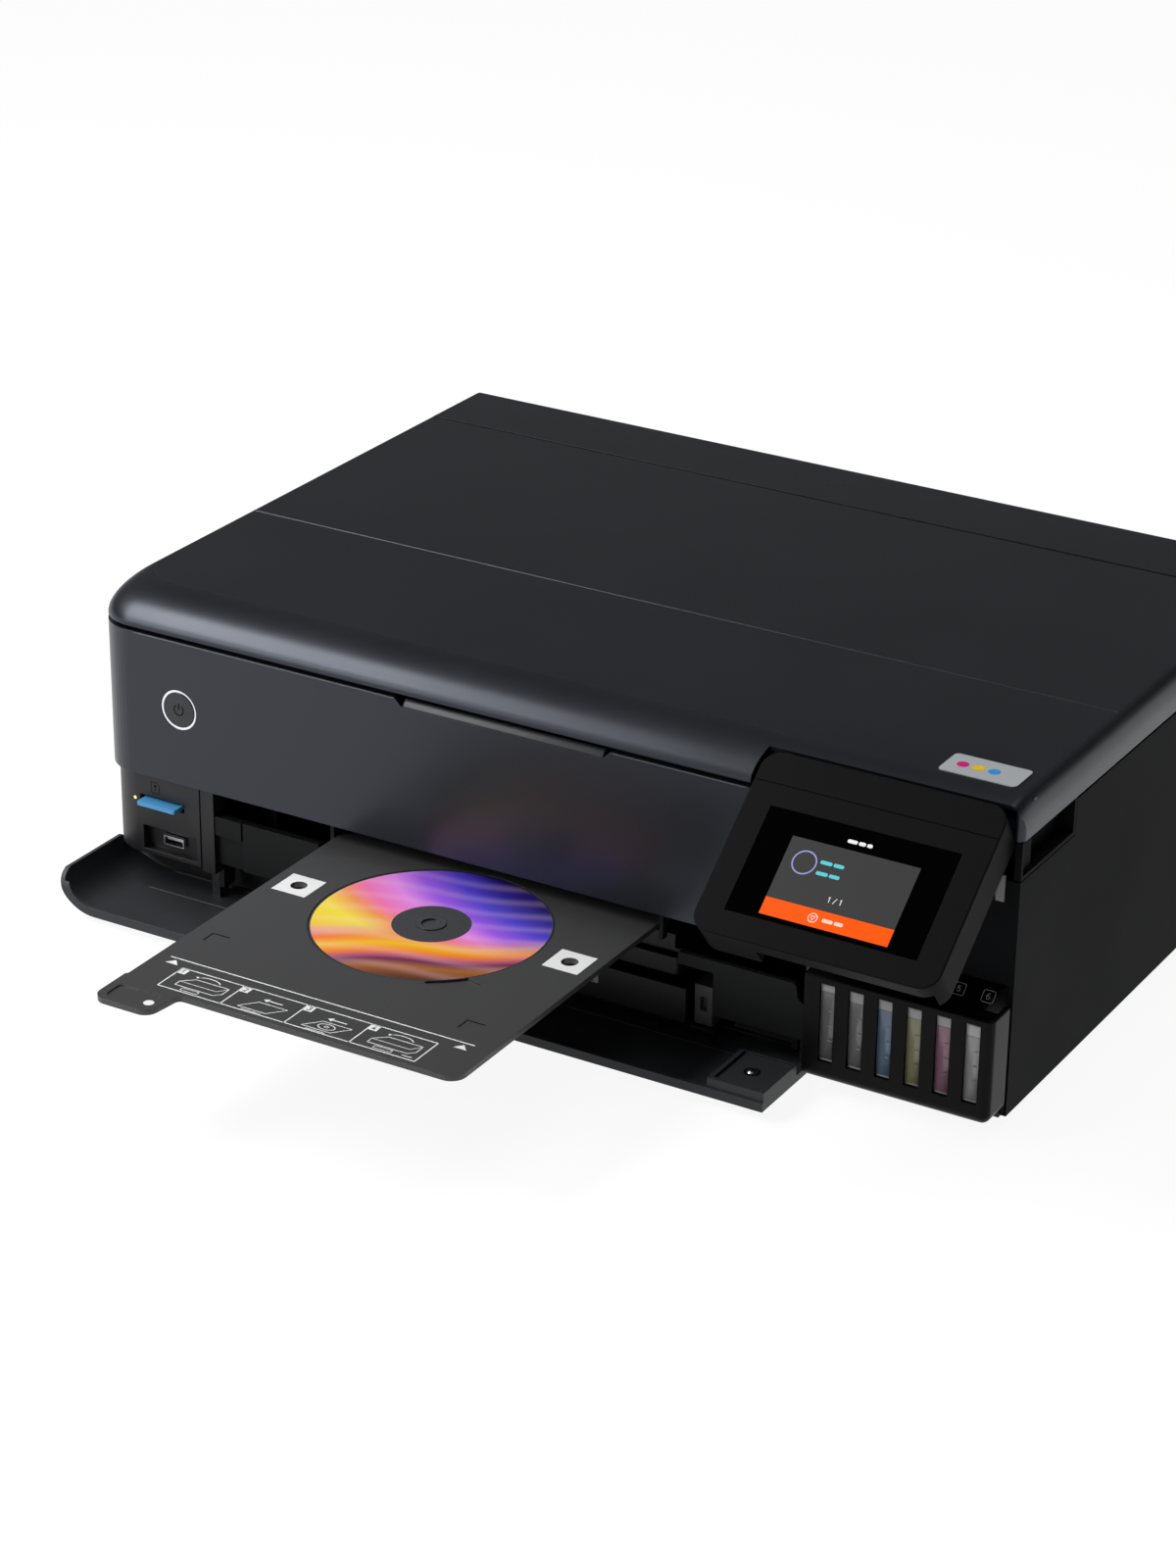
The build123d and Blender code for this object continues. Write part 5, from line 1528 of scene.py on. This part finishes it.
@dataclass
class ControlPanel(SubAssembly):
    """Tilted panel with its touch screen and what the screen shows."""

    low: tuple[float, float] = (-62.33, 106.62)
    tilt: float = 50.67
    picture: tuple[float, float, float, float] = (421.3, 15.8, 488.3, 57.9)
    bar_height: float = 9.1

    def face(self, lift: float) -> Face:
        """The panel's face, measured across and up from its lower edge."""
        angle = radians(self.tilt)
        return Face((0, *self.low), (1, 0, 0), (0, sin(angle), cos(angle)), lift)

    def build(self) -> None:
        """Dress the panel and light its screen."""
        finished_copy("panel_housing", self.stock["panel_plastic"], 0.5)
        paint("panel_glass", self.stock["screen_glass"])
        left, low, right, high = self.picture
        split = low + self.bar_height
        for name, colour, bottom, top in (
            ("screen_ground", "screen_grey", split, high),
            ("screen_button", "screen_orange", low, split),
        ):
            light = Marks(self.face(-0.06))
            light.bar(left, bottom, right, top)
            light.build(name, self.stock[colour], Body.PANEL, "screen_glass")
        self.show_words()

    def show_words(self) -> None:
        """Bars where the screen has words, the plain count, and the two round marks."""
        left, low, right, high = self.picture
        middle = (left + right) / 2
        face = self.face(-0.03)
        head = Marks(face)
        word_bars(head, middle - 6.5, high + 3.4, (5.2, 3.6, 2.8))
        for offset in (-3.0, 3.0):
            head.digit(1, (middle + offset, low + 15.2), 2.7, 0.42)
        head.line([(middle - 0.7, low + 13.7), (middle + 0.7, low + 16.7)], 0.36)
        head.build("screen_count", self.stock["screen_white"], Body.PANEL, "screen_glass")
        lines = Marks(face)
        for drop in (10.4, 16.2):
            word_bars(lines, left + 18.6, high - drop, (6.2, 5.4))
        lines.build("screen_lines", self.stock["screen_cyan"], Body.PANEL, "screen_glass")
        wheel = Marks(face)
        wheel.ring((left + 11.0, high - 11.8), 5.6, 6.3)
        wheel.build("screen_wheel", self.stock["screen_blue"], Body.PANEL, "screen_glass")
        stop = Marks(face)
        centre = (middle - 7.0, low + self.bar_height / 2)
        stop.ring(centre, 2.0, 2.5)
        x, y = centre
        triangle = [(-1.15, 0.85), (1.15, 0.85), (0.0, -1.25), (-1.15, 0.85)]
        stop.line([(x + along, y + up) for along, up in triangle], 0.4)
        word_bars(stop, middle - 2.2, y - 0.95, (5.6, 4.6))
        stop.build("screen_stop", self.stock["screen_pale"], Body.PANEL, "screen_glass")


def word_bars(
    marks: Marks, left: float, low: float, widths: tuple, height: float = 1.9, gap: float = 0.7
) -> None:
    """A row of round-ended bars that stands for a line of words.

    Args:
        marks: where they are added.
        left, low: the row's lower left corner.
        widths: each bar's width.
        height: how high the bars are.
        gap: the space between them.
    """
    for width in widths:
        marks.bar(left, low, left + width, low + height, height * 0.42)
        left += width + gap


@dataclass
class PaperBay(SubAssembly):
    """Front bay: its frame, flaps, cassettes and the fold-down cover with its screw."""

    screw: tuple[float, float] = (405.0, -20.0)
    screw_radius: float = 2.6
    crease: tuple[float, float, float] = (4.5, 76.0, -3.6)
    number_spot: tuple[float, float, float] = (300.0, 4.95, 25.0)
    guides: tuple[float, ...] = (144.6, 338.0)
    guide_wall: float = 2.4
    guide_depth: tuple[float, float] = (4.0, 9.0)
    guide_height: tuple[float, float] = (57.0, 72.0)
    cover_top: float = 6.8
    block_top: float = 13.1

    def build(self) -> None:
        """Dress the bay and add its fittings."""
        self.finish_copies(
            {
                "bay_frame": ("bay_plastic", 0.3),
                "bay_flaps": ("flap_plastic", 0.3),
                "front_cover": ("cover_plastic", 0.5),
                "lower_cassette": ("dark_plastic", 0.3),
                "upper_cassette": ("dark_plastic", 0.3),
                "output_tray": ("dark_plastic", 0.3),
                "left_cassette_guide": ("guide_plastic", 0.3),
                "right_cassette_guide": ("guide_plastic", 0.3),
            }
        )
        self.add_screw()
        self.print_cassette_number()
        self.add_sheet_guides()
        self.paint_crease_highlight()

    def add_screw(self) -> None:
        """Round-headed screw in the cover's end block: a domed head, with the shade in its cross recess
        and in the seat round it painted black.

        The head is a spherical cap turned about its axis: the height falls with the square of
        the distance from the axis.
        """
        across, depth = self.screw
        reach = np.linspace(0.0, self.screw_radius, 7)[:, None]
        turn = np.linspace(0, 2 * pi, 33)[None, :]
        height = self.block_top + 1.1 - 0.9 * (reach / self.screw_radius) ** 2
        dome = place(across + reach * np.cos(turn), depth + reach * np.sin(turn), height + 0 * turn)
        head = Shell()
        head.grid(dome)
        head.build("cover_screw", self.stock["bright_steel"], Body.FRONT_COVER, "dark_plastic", 60.0)
        # Painted shade: a black ring round the head, where its seat is in shade.
        seat_shade = Marks(level_face(self.block_top, 0.06))
        seat_shade.ring(self.screw, 2.9, 4.2)
        seat_shade.build("cover_screw_seat_shade", self.stock["black_print_and_shade"], Body.FRONT_COVER, "dark_plastic")
        # Painted shade: a black cross on the head, where its recess is in shade.
        cross = Marks(level_face(self.block_top + 1.05, 0.1))
        for x, y in ((1.5, 0.3), (0.3, 1.5)):
            cross.bar(across - x, depth - y, across + x, depth + y)
        cross.build("cover_screw_cross_shade", self.stock["black_print_and_shade"], Body.FRONT_COVER, "dark_plastic")

    def paint_crease_highlight(self) -> None:
        """A painted highlight: a fine lighter line along the open cover's inner side, near its hinge,
        standing for the light on its crease.
        """
        left, right, depth = self.crease
        crease = Marks(level_face(self.cover_top, 0.03))
        crease.line([(left, depth), (right, depth)], 0.45)
        crease.build("cover_crease_highlight", self.stock["painted_highlight_grey"], Body.FRONT_COVER, "dark_plastic")

    def print_cassette_number(self) -> None:
        """The plain number on the lower cassette's front."""
        face = Face(self.number_spot, (1, 0, 0), (0, 0, 1))
        plate = Marks(face)
        plate.bar(-3.6, -2.4, 3.6, 2.4, 0.8)
        grey, black = self.stock["grey_print"], self.stock["black_print_and_shade"]
        plate.build("cassette_number_plate", grey, Body.LOWER_CASSETTE, "dark_plastic")
        number = Marks(face, lift=0.03)
        number.digit(2, (0.0, 0.0), 3.0, 0.5)
        number.build("cassette_number", black, Body.LOWER_CASSETTE, "dark_plastic")

    def add_sheet_guides(self) -> None:
        """Small uprights on either side of the disc tray's mouth."""
        guides = Shell()
        for left in self.guides:
            guides.box((left, left + self.guide_wall), self.guide_depth, self.guide_height)
        piece = guides.build("tray_guides", self.stock["flap_plastic"], Body.HOUSING, "dark_plastic")
        soften(piece, 0.3)


@dataclass
class DiscTray(SubAssembly):
    """Tray for printable discs with its printed marks, and the disc on it."""

    top: float = 65.0
    eyes: tuple[tuple[float, float], ...] = ((164.0, -52.7), (321.3, -53.1))
    hole: float = 4.0
    corner_marks: tuple[tuple[float, float], ...] = ((158.5, -118.0), (311.0, -129.0))
    foot_dot: tuple[float, float] = (174.6, -192.6)
    band: tuple[float, float, float, float] = (167.0, -176.0, 312.0, -155.0)
    rule: tuple[float, float, float] = (155.4, 327.4, -148.5)

    def build(self) -> None:
        """Dress the tray and the disc and print the tray's marks."""
        finished_copy("disc_tray", self.stock["tray_plastic"], 0.35)
        finished_copy("printed_disc", self.stock["disc_print"], 0.0)
        face = level_face(self.top)
        white = Marks(face)
        self.mark_eyes(white)
        self.mark_steps(white)
        white.build("tray_print", self.stock["white_print"], Body.TRAY, "tray_plastic")
        dark = Marks(face)
        for x, y in self.corner_marks:
            dark.line([(x, y - 8.5), (x, y), (x + 10.0, y)], 0.8)
        for cell in range(4):
            x, y = self.cell(cell)
            dark.digit(cell + 1, (x + 2.6, y + 17.9), 3.1, 0.55)
        dark.lift = 0.03
        dark.build("tray_marks", self.stock["black_print_and_shade"], Body.TRAY, "tray_plastic")

    def cell(self, number: int) -> tuple[float, float]:
        """The lower left corner of one cell of the printed band."""
        left, low, right, _ = self.band
        return left + (right - left) / 4 * number, low

    def mark_eyes(self, white: Marks) -> None:
        """White squares round the two sighting holes, with the hole left free.

        The band between the square's outline and the hole is one closed strip: both lines have
        as many points, at the same angles seen from the hole.

        Args:
            white: the tray's white marks.
        """
        turn = np.linspace(0, 2 * pi, 64, endpoint=False) + pi / 4
        circle = np.stack([np.cos(turn), np.sin(turn)], axis=-1)
        square = circle / np.abs(circle).max(axis=1, keepdims=True)
        for x, y in self.eyes:
            outside = np.array((x, y)) + np.clip(square * 10.0, -9.9, 9.9)
            white.loop(outside, np.array((x, y)) + (self.hole + 0.3) * circle)

    def mark_steps(self, white: Marks) -> None:
        """Draw the rule with its two arrowheads and the band of four numbered pictures.

        Args:
            white: the tray's white marks.
        """
        left, right, depth = self.rule
        white.line([(left, depth), (right, depth)], 0.8)
        for x in (left + 4.6, right - 4.6):
            white.patch([(x - 3.6, depth - 6.0), (x + 3.6, depth - 6.0), (x, depth - 1.9)])
        x0, y0, x1, y1 = self.band
        white.frame(x0, y0, x1, y1, 0.8, 0.7)
        for number in range(1, 4):
            x, _ = self.cell(number)
            white.line([(x, y0), (x, y1)], 0.7)
        for number in range(4):
            x, y = self.cell(number)
            white.bar(x + 0.3, y + 15.4, x + 5.0, y + 20.7)
        self.draw_machine(white, *self.cell(0))
        self.draw_tray(white, *self.cell(1), disc=False)
        self.draw_tray(white, *self.cell(2), disc=True)
        self.draw_machine(white, *self.cell(3))
        x, y = self.cell(3)
        white.line([(x + 27.5, y + 2.6), (x + 33.0, y + 2.6)], 0.6)
        white.dot(self.foot_dot, 2.6)

    def draw_machine(self, white: Marks, left: float, low: float) -> None:
        """Draw a plain outline of the machine with its tray out and an arrow.

        Args:
            white: the tray's white marks.
            left, low: the cell's lower left corner.
        """
        body = [(7, 5), (29, 5), (32, 8), (32, 14), (13, 14), (7, 9), (7, 5)]
        white.line([(left + x, low + y) for x, y in body], 0.5)
        white.line([(left + 7, low + 9), (left + 28, low + 9), (left + 32, low + 14)], 0.4)
        white.frame(left + 12, low + 1.6, left + 22, low + 4.2, 0.4, 0.4)
        white.line(bow((left + 19.0, low + 14.4), 7.0, 3.6, 20, 150), 0.6)
        tip = (left + 12.4, low + 15.2)
        white.patch([(tip[0] - 1.2, tip[1] + 1.4), tip, (tip[0] + 1.9, tip[1] + 1.9)])

    def draw_tray(self, white: Marks, left: float, low: float, disc: bool) -> None:
        """Draw a plain outline of the tray and an arrow.

        Args:
            white: the tray's white marks.
            left, low: the cell's lower left corner.
            disc: whether its disc lies on it.
        """
        plate = [(8, 3), (24, 3), (31, 11), (15, 11), (8, 3)]
        white.line([(left + x, low + y) for x, y in plate], 0.5)
        if disc:
            for x, y, line in ((4.6, 2.6, 0.5), (1.2, 0.7, 0.4)):
                white.line(bow((left + 19.4, low + 7.0), x, y, 0, 360), line)
        white.line([(left + 26.0, low + 14.2), (left + 18.0, low + 14.2)], 0.8)
        head = [(18.2, 15.9), (15.4, 14.2), (18.2, 12.5)]
        white.patch([(left + x, low + y) for x, y in head])
        white.line([(left + 11.0, low + 1.4), (left + 22.0, low + 1.4)], 0.5)


@dataclass
class TankBlock(SubAssembly):
    """Ink tanks behind their windows, with the scale marks and the numbered label strip."""

    first: float = 431.4
    pitch: float = 15.46
    width: float = 8.03
    scale: tuple[float, ...] = (30.5, 38.5, 46.5)
    window_edge_highlights: tuple[tuple[float, float], ...] = ((19.7, 20.5), (60.0, 60.7))
    strip_low: tuple[float, float] = (7.6, 65.0)
    strip_high: tuple[float, float] = (17.6, 74.2)
    square: float = 3.25
    tanks: int = 6

    def build(self) -> None:
        """Dress the tanks and their front."""
        self.finish_copies(
            {
                "tank_fascia": ("fascia_plastic", 0.5),
                "tank_cover": ("fascia_plastic", 0.4),
                "tank_label_strip": ("label_gloss", 0.2),
            }
        )
        for number in range(1, self.tanks + 1):
            finished_copy(f"ink_tank_{number}", self.stock[f"ink_tank_{number}"], 0.0)
            paint(f"tank_cap_{number}", self.stock["dark_plastic"])
        self.mark_scales()
        self.number_strip()

    def mark_scales(self) -> None:
        """Raised marks on each window: three for the level, and a pale bar below and above, which are
        painted highlights standing for the light at the window's edges.
        """
        marks = Shell()
        for tank in range(self.tanks):
            left = self.first + self.pitch * tank
            for height in self.scale:
                marks.box((left + 4.4, left + 6.6), (-1.85, -1.6), (height, height + 0.5))
            # Painted highlights: pale bars along each window's lower and upper edge.
            for low, high in self.window_edge_highlights:
                marks.box((left + 0.8, left + self.width - 0.8), (-1.8, -1.6), (low, high))
        piece = marks.build("tank_scales_and_highlights", self.stock["stay_plastic"], Body.HOUSING, "dark_plastic")
        soften(piece, 0.08)

    def number_strip(self) -> None:
        """Outlined squares with plain numbers on the slanted strip, one for each tank."""
        slope = np.array(self.strip_high) - np.array(self.strip_low)
        up = slope / np.linalg.norm(slope)
        marks = Marks(Face((0, *self.strip_low), (1, 0, 0), (0, *up), 0.1))
        middle = np.linalg.norm(slope) / 2
        half = self.square
        for tank in range(self.tanks):
            x = self.first + self.pitch * tank + self.width / 2
            marks.frame(x - half, middle - half, x + half, middle + half, 1.1, 0.35)
            marks.digit(tank + 1, (x, middle), 3.0, 0.42)
        marks.build("tank_numbers", self.stock["grey_print"], Body.HOUSING, "label_gloss")


@dataclass
class Mechanism(SubAssembly):
    """Everything inside: it shows when the covers are open."""

    def build(self) -> None:
        """Give each inner node its finish."""
        for node, finish in {
            "card_reader": "bright_steel",
            "scanner_glass": "scanner_glass",
            "scan_carriage": "dark_plastic",
            "paper_support": "bay_plastic",
            "rear_feed_chute": "bay_plastic",
            "chassis_frame": "plated_steel",
            "platen": "dark_plastic",
            "carriage_rail": "plated_steel",
            "carriage_belt": "belt_rubber",
            "drive_pulley": "gear_white",
            "idler_pulley": "gear_white",
            "drive_motors": "plated_steel",
            "feed_roller": "feed_roller",
            "eject_roller": "eject_roller",
            "idler_gear": "gear_white",
            "motor_pinion": "gear_white",
            "print_carriage": "bay_plastic",
            "maintenance_box": "waste_box",
            "main_board": "circuit_board",
            "power_supply": "plated_steel",
        }.items():
            paint(node, self.stock[finish])


@dataclass(frozen=True)
class Softbox:
    """A rectangular soft lamp: where it hangs, how large and strong it is, and what it faces."""

    name: str
    spot: tuple[float, float, float]
    size: tuple[float, float]
    power: float
    aim: tuple[float, float, float] = (-0.22, -0.09, 0.16)


@dataclass
class Studio:
    """Pale floor, soft lamps and the camera at the photograph's angle."""

    focal_px: float = 4073.29
    centre_px: tuple[float, float] = (723.46, 869.62)
    image_px: tuple[int, int] = (1200, 1600)
    eye: tuple[float, float, float] = (1190.9, -1523.15, 948.41)
    azimuth: float = -28.404
    elevation: float = 25.74
    roll: float = 1.497
    flat: float = 4.5
    wall_at: float = 7.0
    wall_high: float = 1.1
    white: float = 1.14
    glow_share: float = 0.8
    overhead: float = 0.7
    panel_spread: float = 40.0
    panel_lean: float = -18.0
    room_light: float = 0.08
    room_colour: tuple[float, float, float, float] = (0.94, 0.96, 1.0, 1.0)
    sensor_mm: float = 36.0
    softboxes: tuple[Softbox, ...] = (
        Softbox("high_softbox", (-0.935, -0.283, 1.24), (0.45, 1.1), 15.5),
        Softbox("low_softbox", (-0.935, -1.0, 0.8), (0.45, 1.0), 8.5),
    )

    def build(self) -> None:
        """Set the stage."""
        scene = bpy.context.scene
        scene.view_settings.view_transform = "Standard"
        self.add_camera(scene)
        self.add_floor()
        self.add_world(scene)
        for box in self.softboxes:
            self.add_lamp(box)
        self.add_sky_panel()

    def add_camera(self, scene: bpy.types.Scene) -> None:
        """Add the camera of the photograph's fit: where it is, how it is turned, its lens.

        Args:
            scene: the scene that looks through it.
        """
        azimuth, elevation, roll = (radians(a) for a in (self.azimuth, self.elevation, self.roll))
        ahead = np.array(
            [sin(azimuth) * cos(elevation), cos(azimuth) * cos(elevation), -sin(elevation)]
        )
        level = np.array([cos(azimuth), -sin(azimuth), 0.0])
        above = np.cross(level, ahead)
        right = cos(roll) * level + sin(roll) * above
        up = cos(roll) * above - sin(roll) * level
        turn = Matrix(np.column_stack([right, up, -ahead]).tolist()).to_4x4()
        data = bpy.data.cameras.new("camera")
        data.sensor_fit = "AUTO"
        data.sensor_width = self.sensor_mm
        data.lens = self.focal_px * self.sensor_mm / max(self.image_px)
        data.shift_x = (self.image_px[0] / 2 - self.centre_px[0]) / max(self.image_px)
        data.shift_y = (self.centre_px[1] - self.image_px[1] / 2) / max(self.image_px)
        data.clip_end = 50.0
        camera = bpy.data.objects.new("camera", data)
        scene.collection.objects.link(camera)
        spot = place(*self.eye)
        camera.matrix_world = Matrix.Translation(spot.tolist()) @ turn
        scene.camera = camera

    def add_floor(self) -> None:
        """White floor that turns up into a low wall all round, far from the object.

        A circle's profile is swept round the middle: level out to the bend, then rising as
        1 - cos over a quarter turn. Camera, mirror and glass see it white, with the object's
        shadow still on it, and the wall stays so low that the level covers mirror the dark above.
        """
        reach = np.concatenate([np.linspace(0.0, self.flat, 13)[:-1], self.flat + np.zeros(9)])
        rise = np.concatenate([np.zeros(12), np.linspace(0.0, pi / 2, 9)])
        radius = (reach + (self.wall_at - self.flat) * np.sin(rise))[:, None]
        height = (self.wall_high * (1 - np.cos(rise)))[:, None]
        turn = np.linspace(0, 2 * pi, 97)[None, :]
        points = np.stack(
            [radius * np.cos(turn), radius * np.sin(turn), height + 0 * turn], axis=-1
        )
        shell = Shell()
        shell.grid(points)
        mesh = bpy.data.meshes.new("floor")
        mesh.from_pydata(np.concatenate(shell.points).tolist(), [], shell.faces)
        mesh.polygons.foreach_set("use_smooth", np.ones(len(mesh.polygons), bool))
        floor = bpy.data.objects.new("floor", mesh)
        bpy.context.scene.collection.objects.link(floor)
        mesh.materials.append(self.floor_paper())

    def floor_paper(self) -> bpy.types.Material:
        """White paper: mostly a plain white to the rays that show it, and matt to all others.

        Returns:
            The material.
        """
        recipe = Recipe("floor_paper")
        matt = {"Base Color": (0.8, 0.8, 0.8, 1.0), "Roughness": 0.9, "Specular IOR Level": 0.0}
        recipe.feed(recipe.shader, matt)
        rays = recipe.node("LightPath", {}).outputs
        seen = recipe.calculate("MAXIMUM", rays["Is Camera Ray"], rays["Is Glossy Ray"])
        seen = recipe.calculate("MAXIMUM", seen, rays["Is Transmission Ray"])
        share = recipe.calculate("MULTIPLY", seen, self.glow_share)
        glow = recipe.node("Emission", {"Strength": self.white}).outputs["Emission"]
        layers = {0: share, 1: recipe.shader.outputs["BSDF"], 2: glow}
        surface = recipe.node("MixShader", layers).outputs["Shader"]
        recipe.feed(recipe.tree.nodes["Material Output"], {"Surface": surface})
        return recipe.material

    def add_world(self, scene: bpy.types.Scene) -> None:
        """Add dim, even surroundings, as in a studio with its room light down.

        Args:
            scene: the scene that they surround.
        """
        world = bpy.data.worlds.new("studio")
        world.use_nodes = True
        ground = world.node_tree.nodes["Background"]
        ground.inputs["Color"].default_value = self.room_colour
        ground.inputs["Strength"].default_value = self.room_light
        scene.world = world

    def add_sky_panel(self) -> None:
        """Very large, far panel overhead: it lights the object and all of the floor evenly."""
        data = bpy.data.lights.new("overhead_panel", "SUN")
        data.energy = self.overhead
        data.angle = radians(self.panel_spread)
        lamp = bpy.data.objects.new("overhead_panel", data)
        bpy.context.scene.collection.objects.link(lamp)
        lamp.matrix_world = Matrix.Rotation(radians(self.panel_lean), 4, "X")

    def add_lamp(self, box: Softbox) -> None:
        """Hang a soft lamp that faces its aim, its short side as level along X as it can be.

        Args:
            box: the lamp.
        """
        data = bpy.data.lights.new(box.name, "AREA")
        data.shape = "RECTANGLE"
        data.size, data.size_y = box.size
        data.energy = box.power
        lamp = bpy.data.objects.new(box.name, data)
        bpy.context.scene.collection.objects.link(lamp)
        away = np.array(box.spot) - np.array(box.aim)
        away /= np.linalg.norm(away)
        side = np.array((1.0, 0.0, 0.0)) - away[0] * away
        side /= np.linalg.norm(side)
        turn = Matrix(np.column_stack([side, np.cross(away, side), away]).tolist()).to_4x4()
        lamp.matrix_world = Matrix.Translation(box.spot) @ turn


def main() -> None:
    """Build and dress every sub-assembly, then set the stage."""
    stock = Stock()
    for kind in (Casing, Lid, ControlPanel, PaperBay, DiscTray, TankBlock, Mechanism):
        log.info("%s", kind.__name__)
        kind(stock).build()
    Studio().build()


if __name__ == "__main__":
    main()
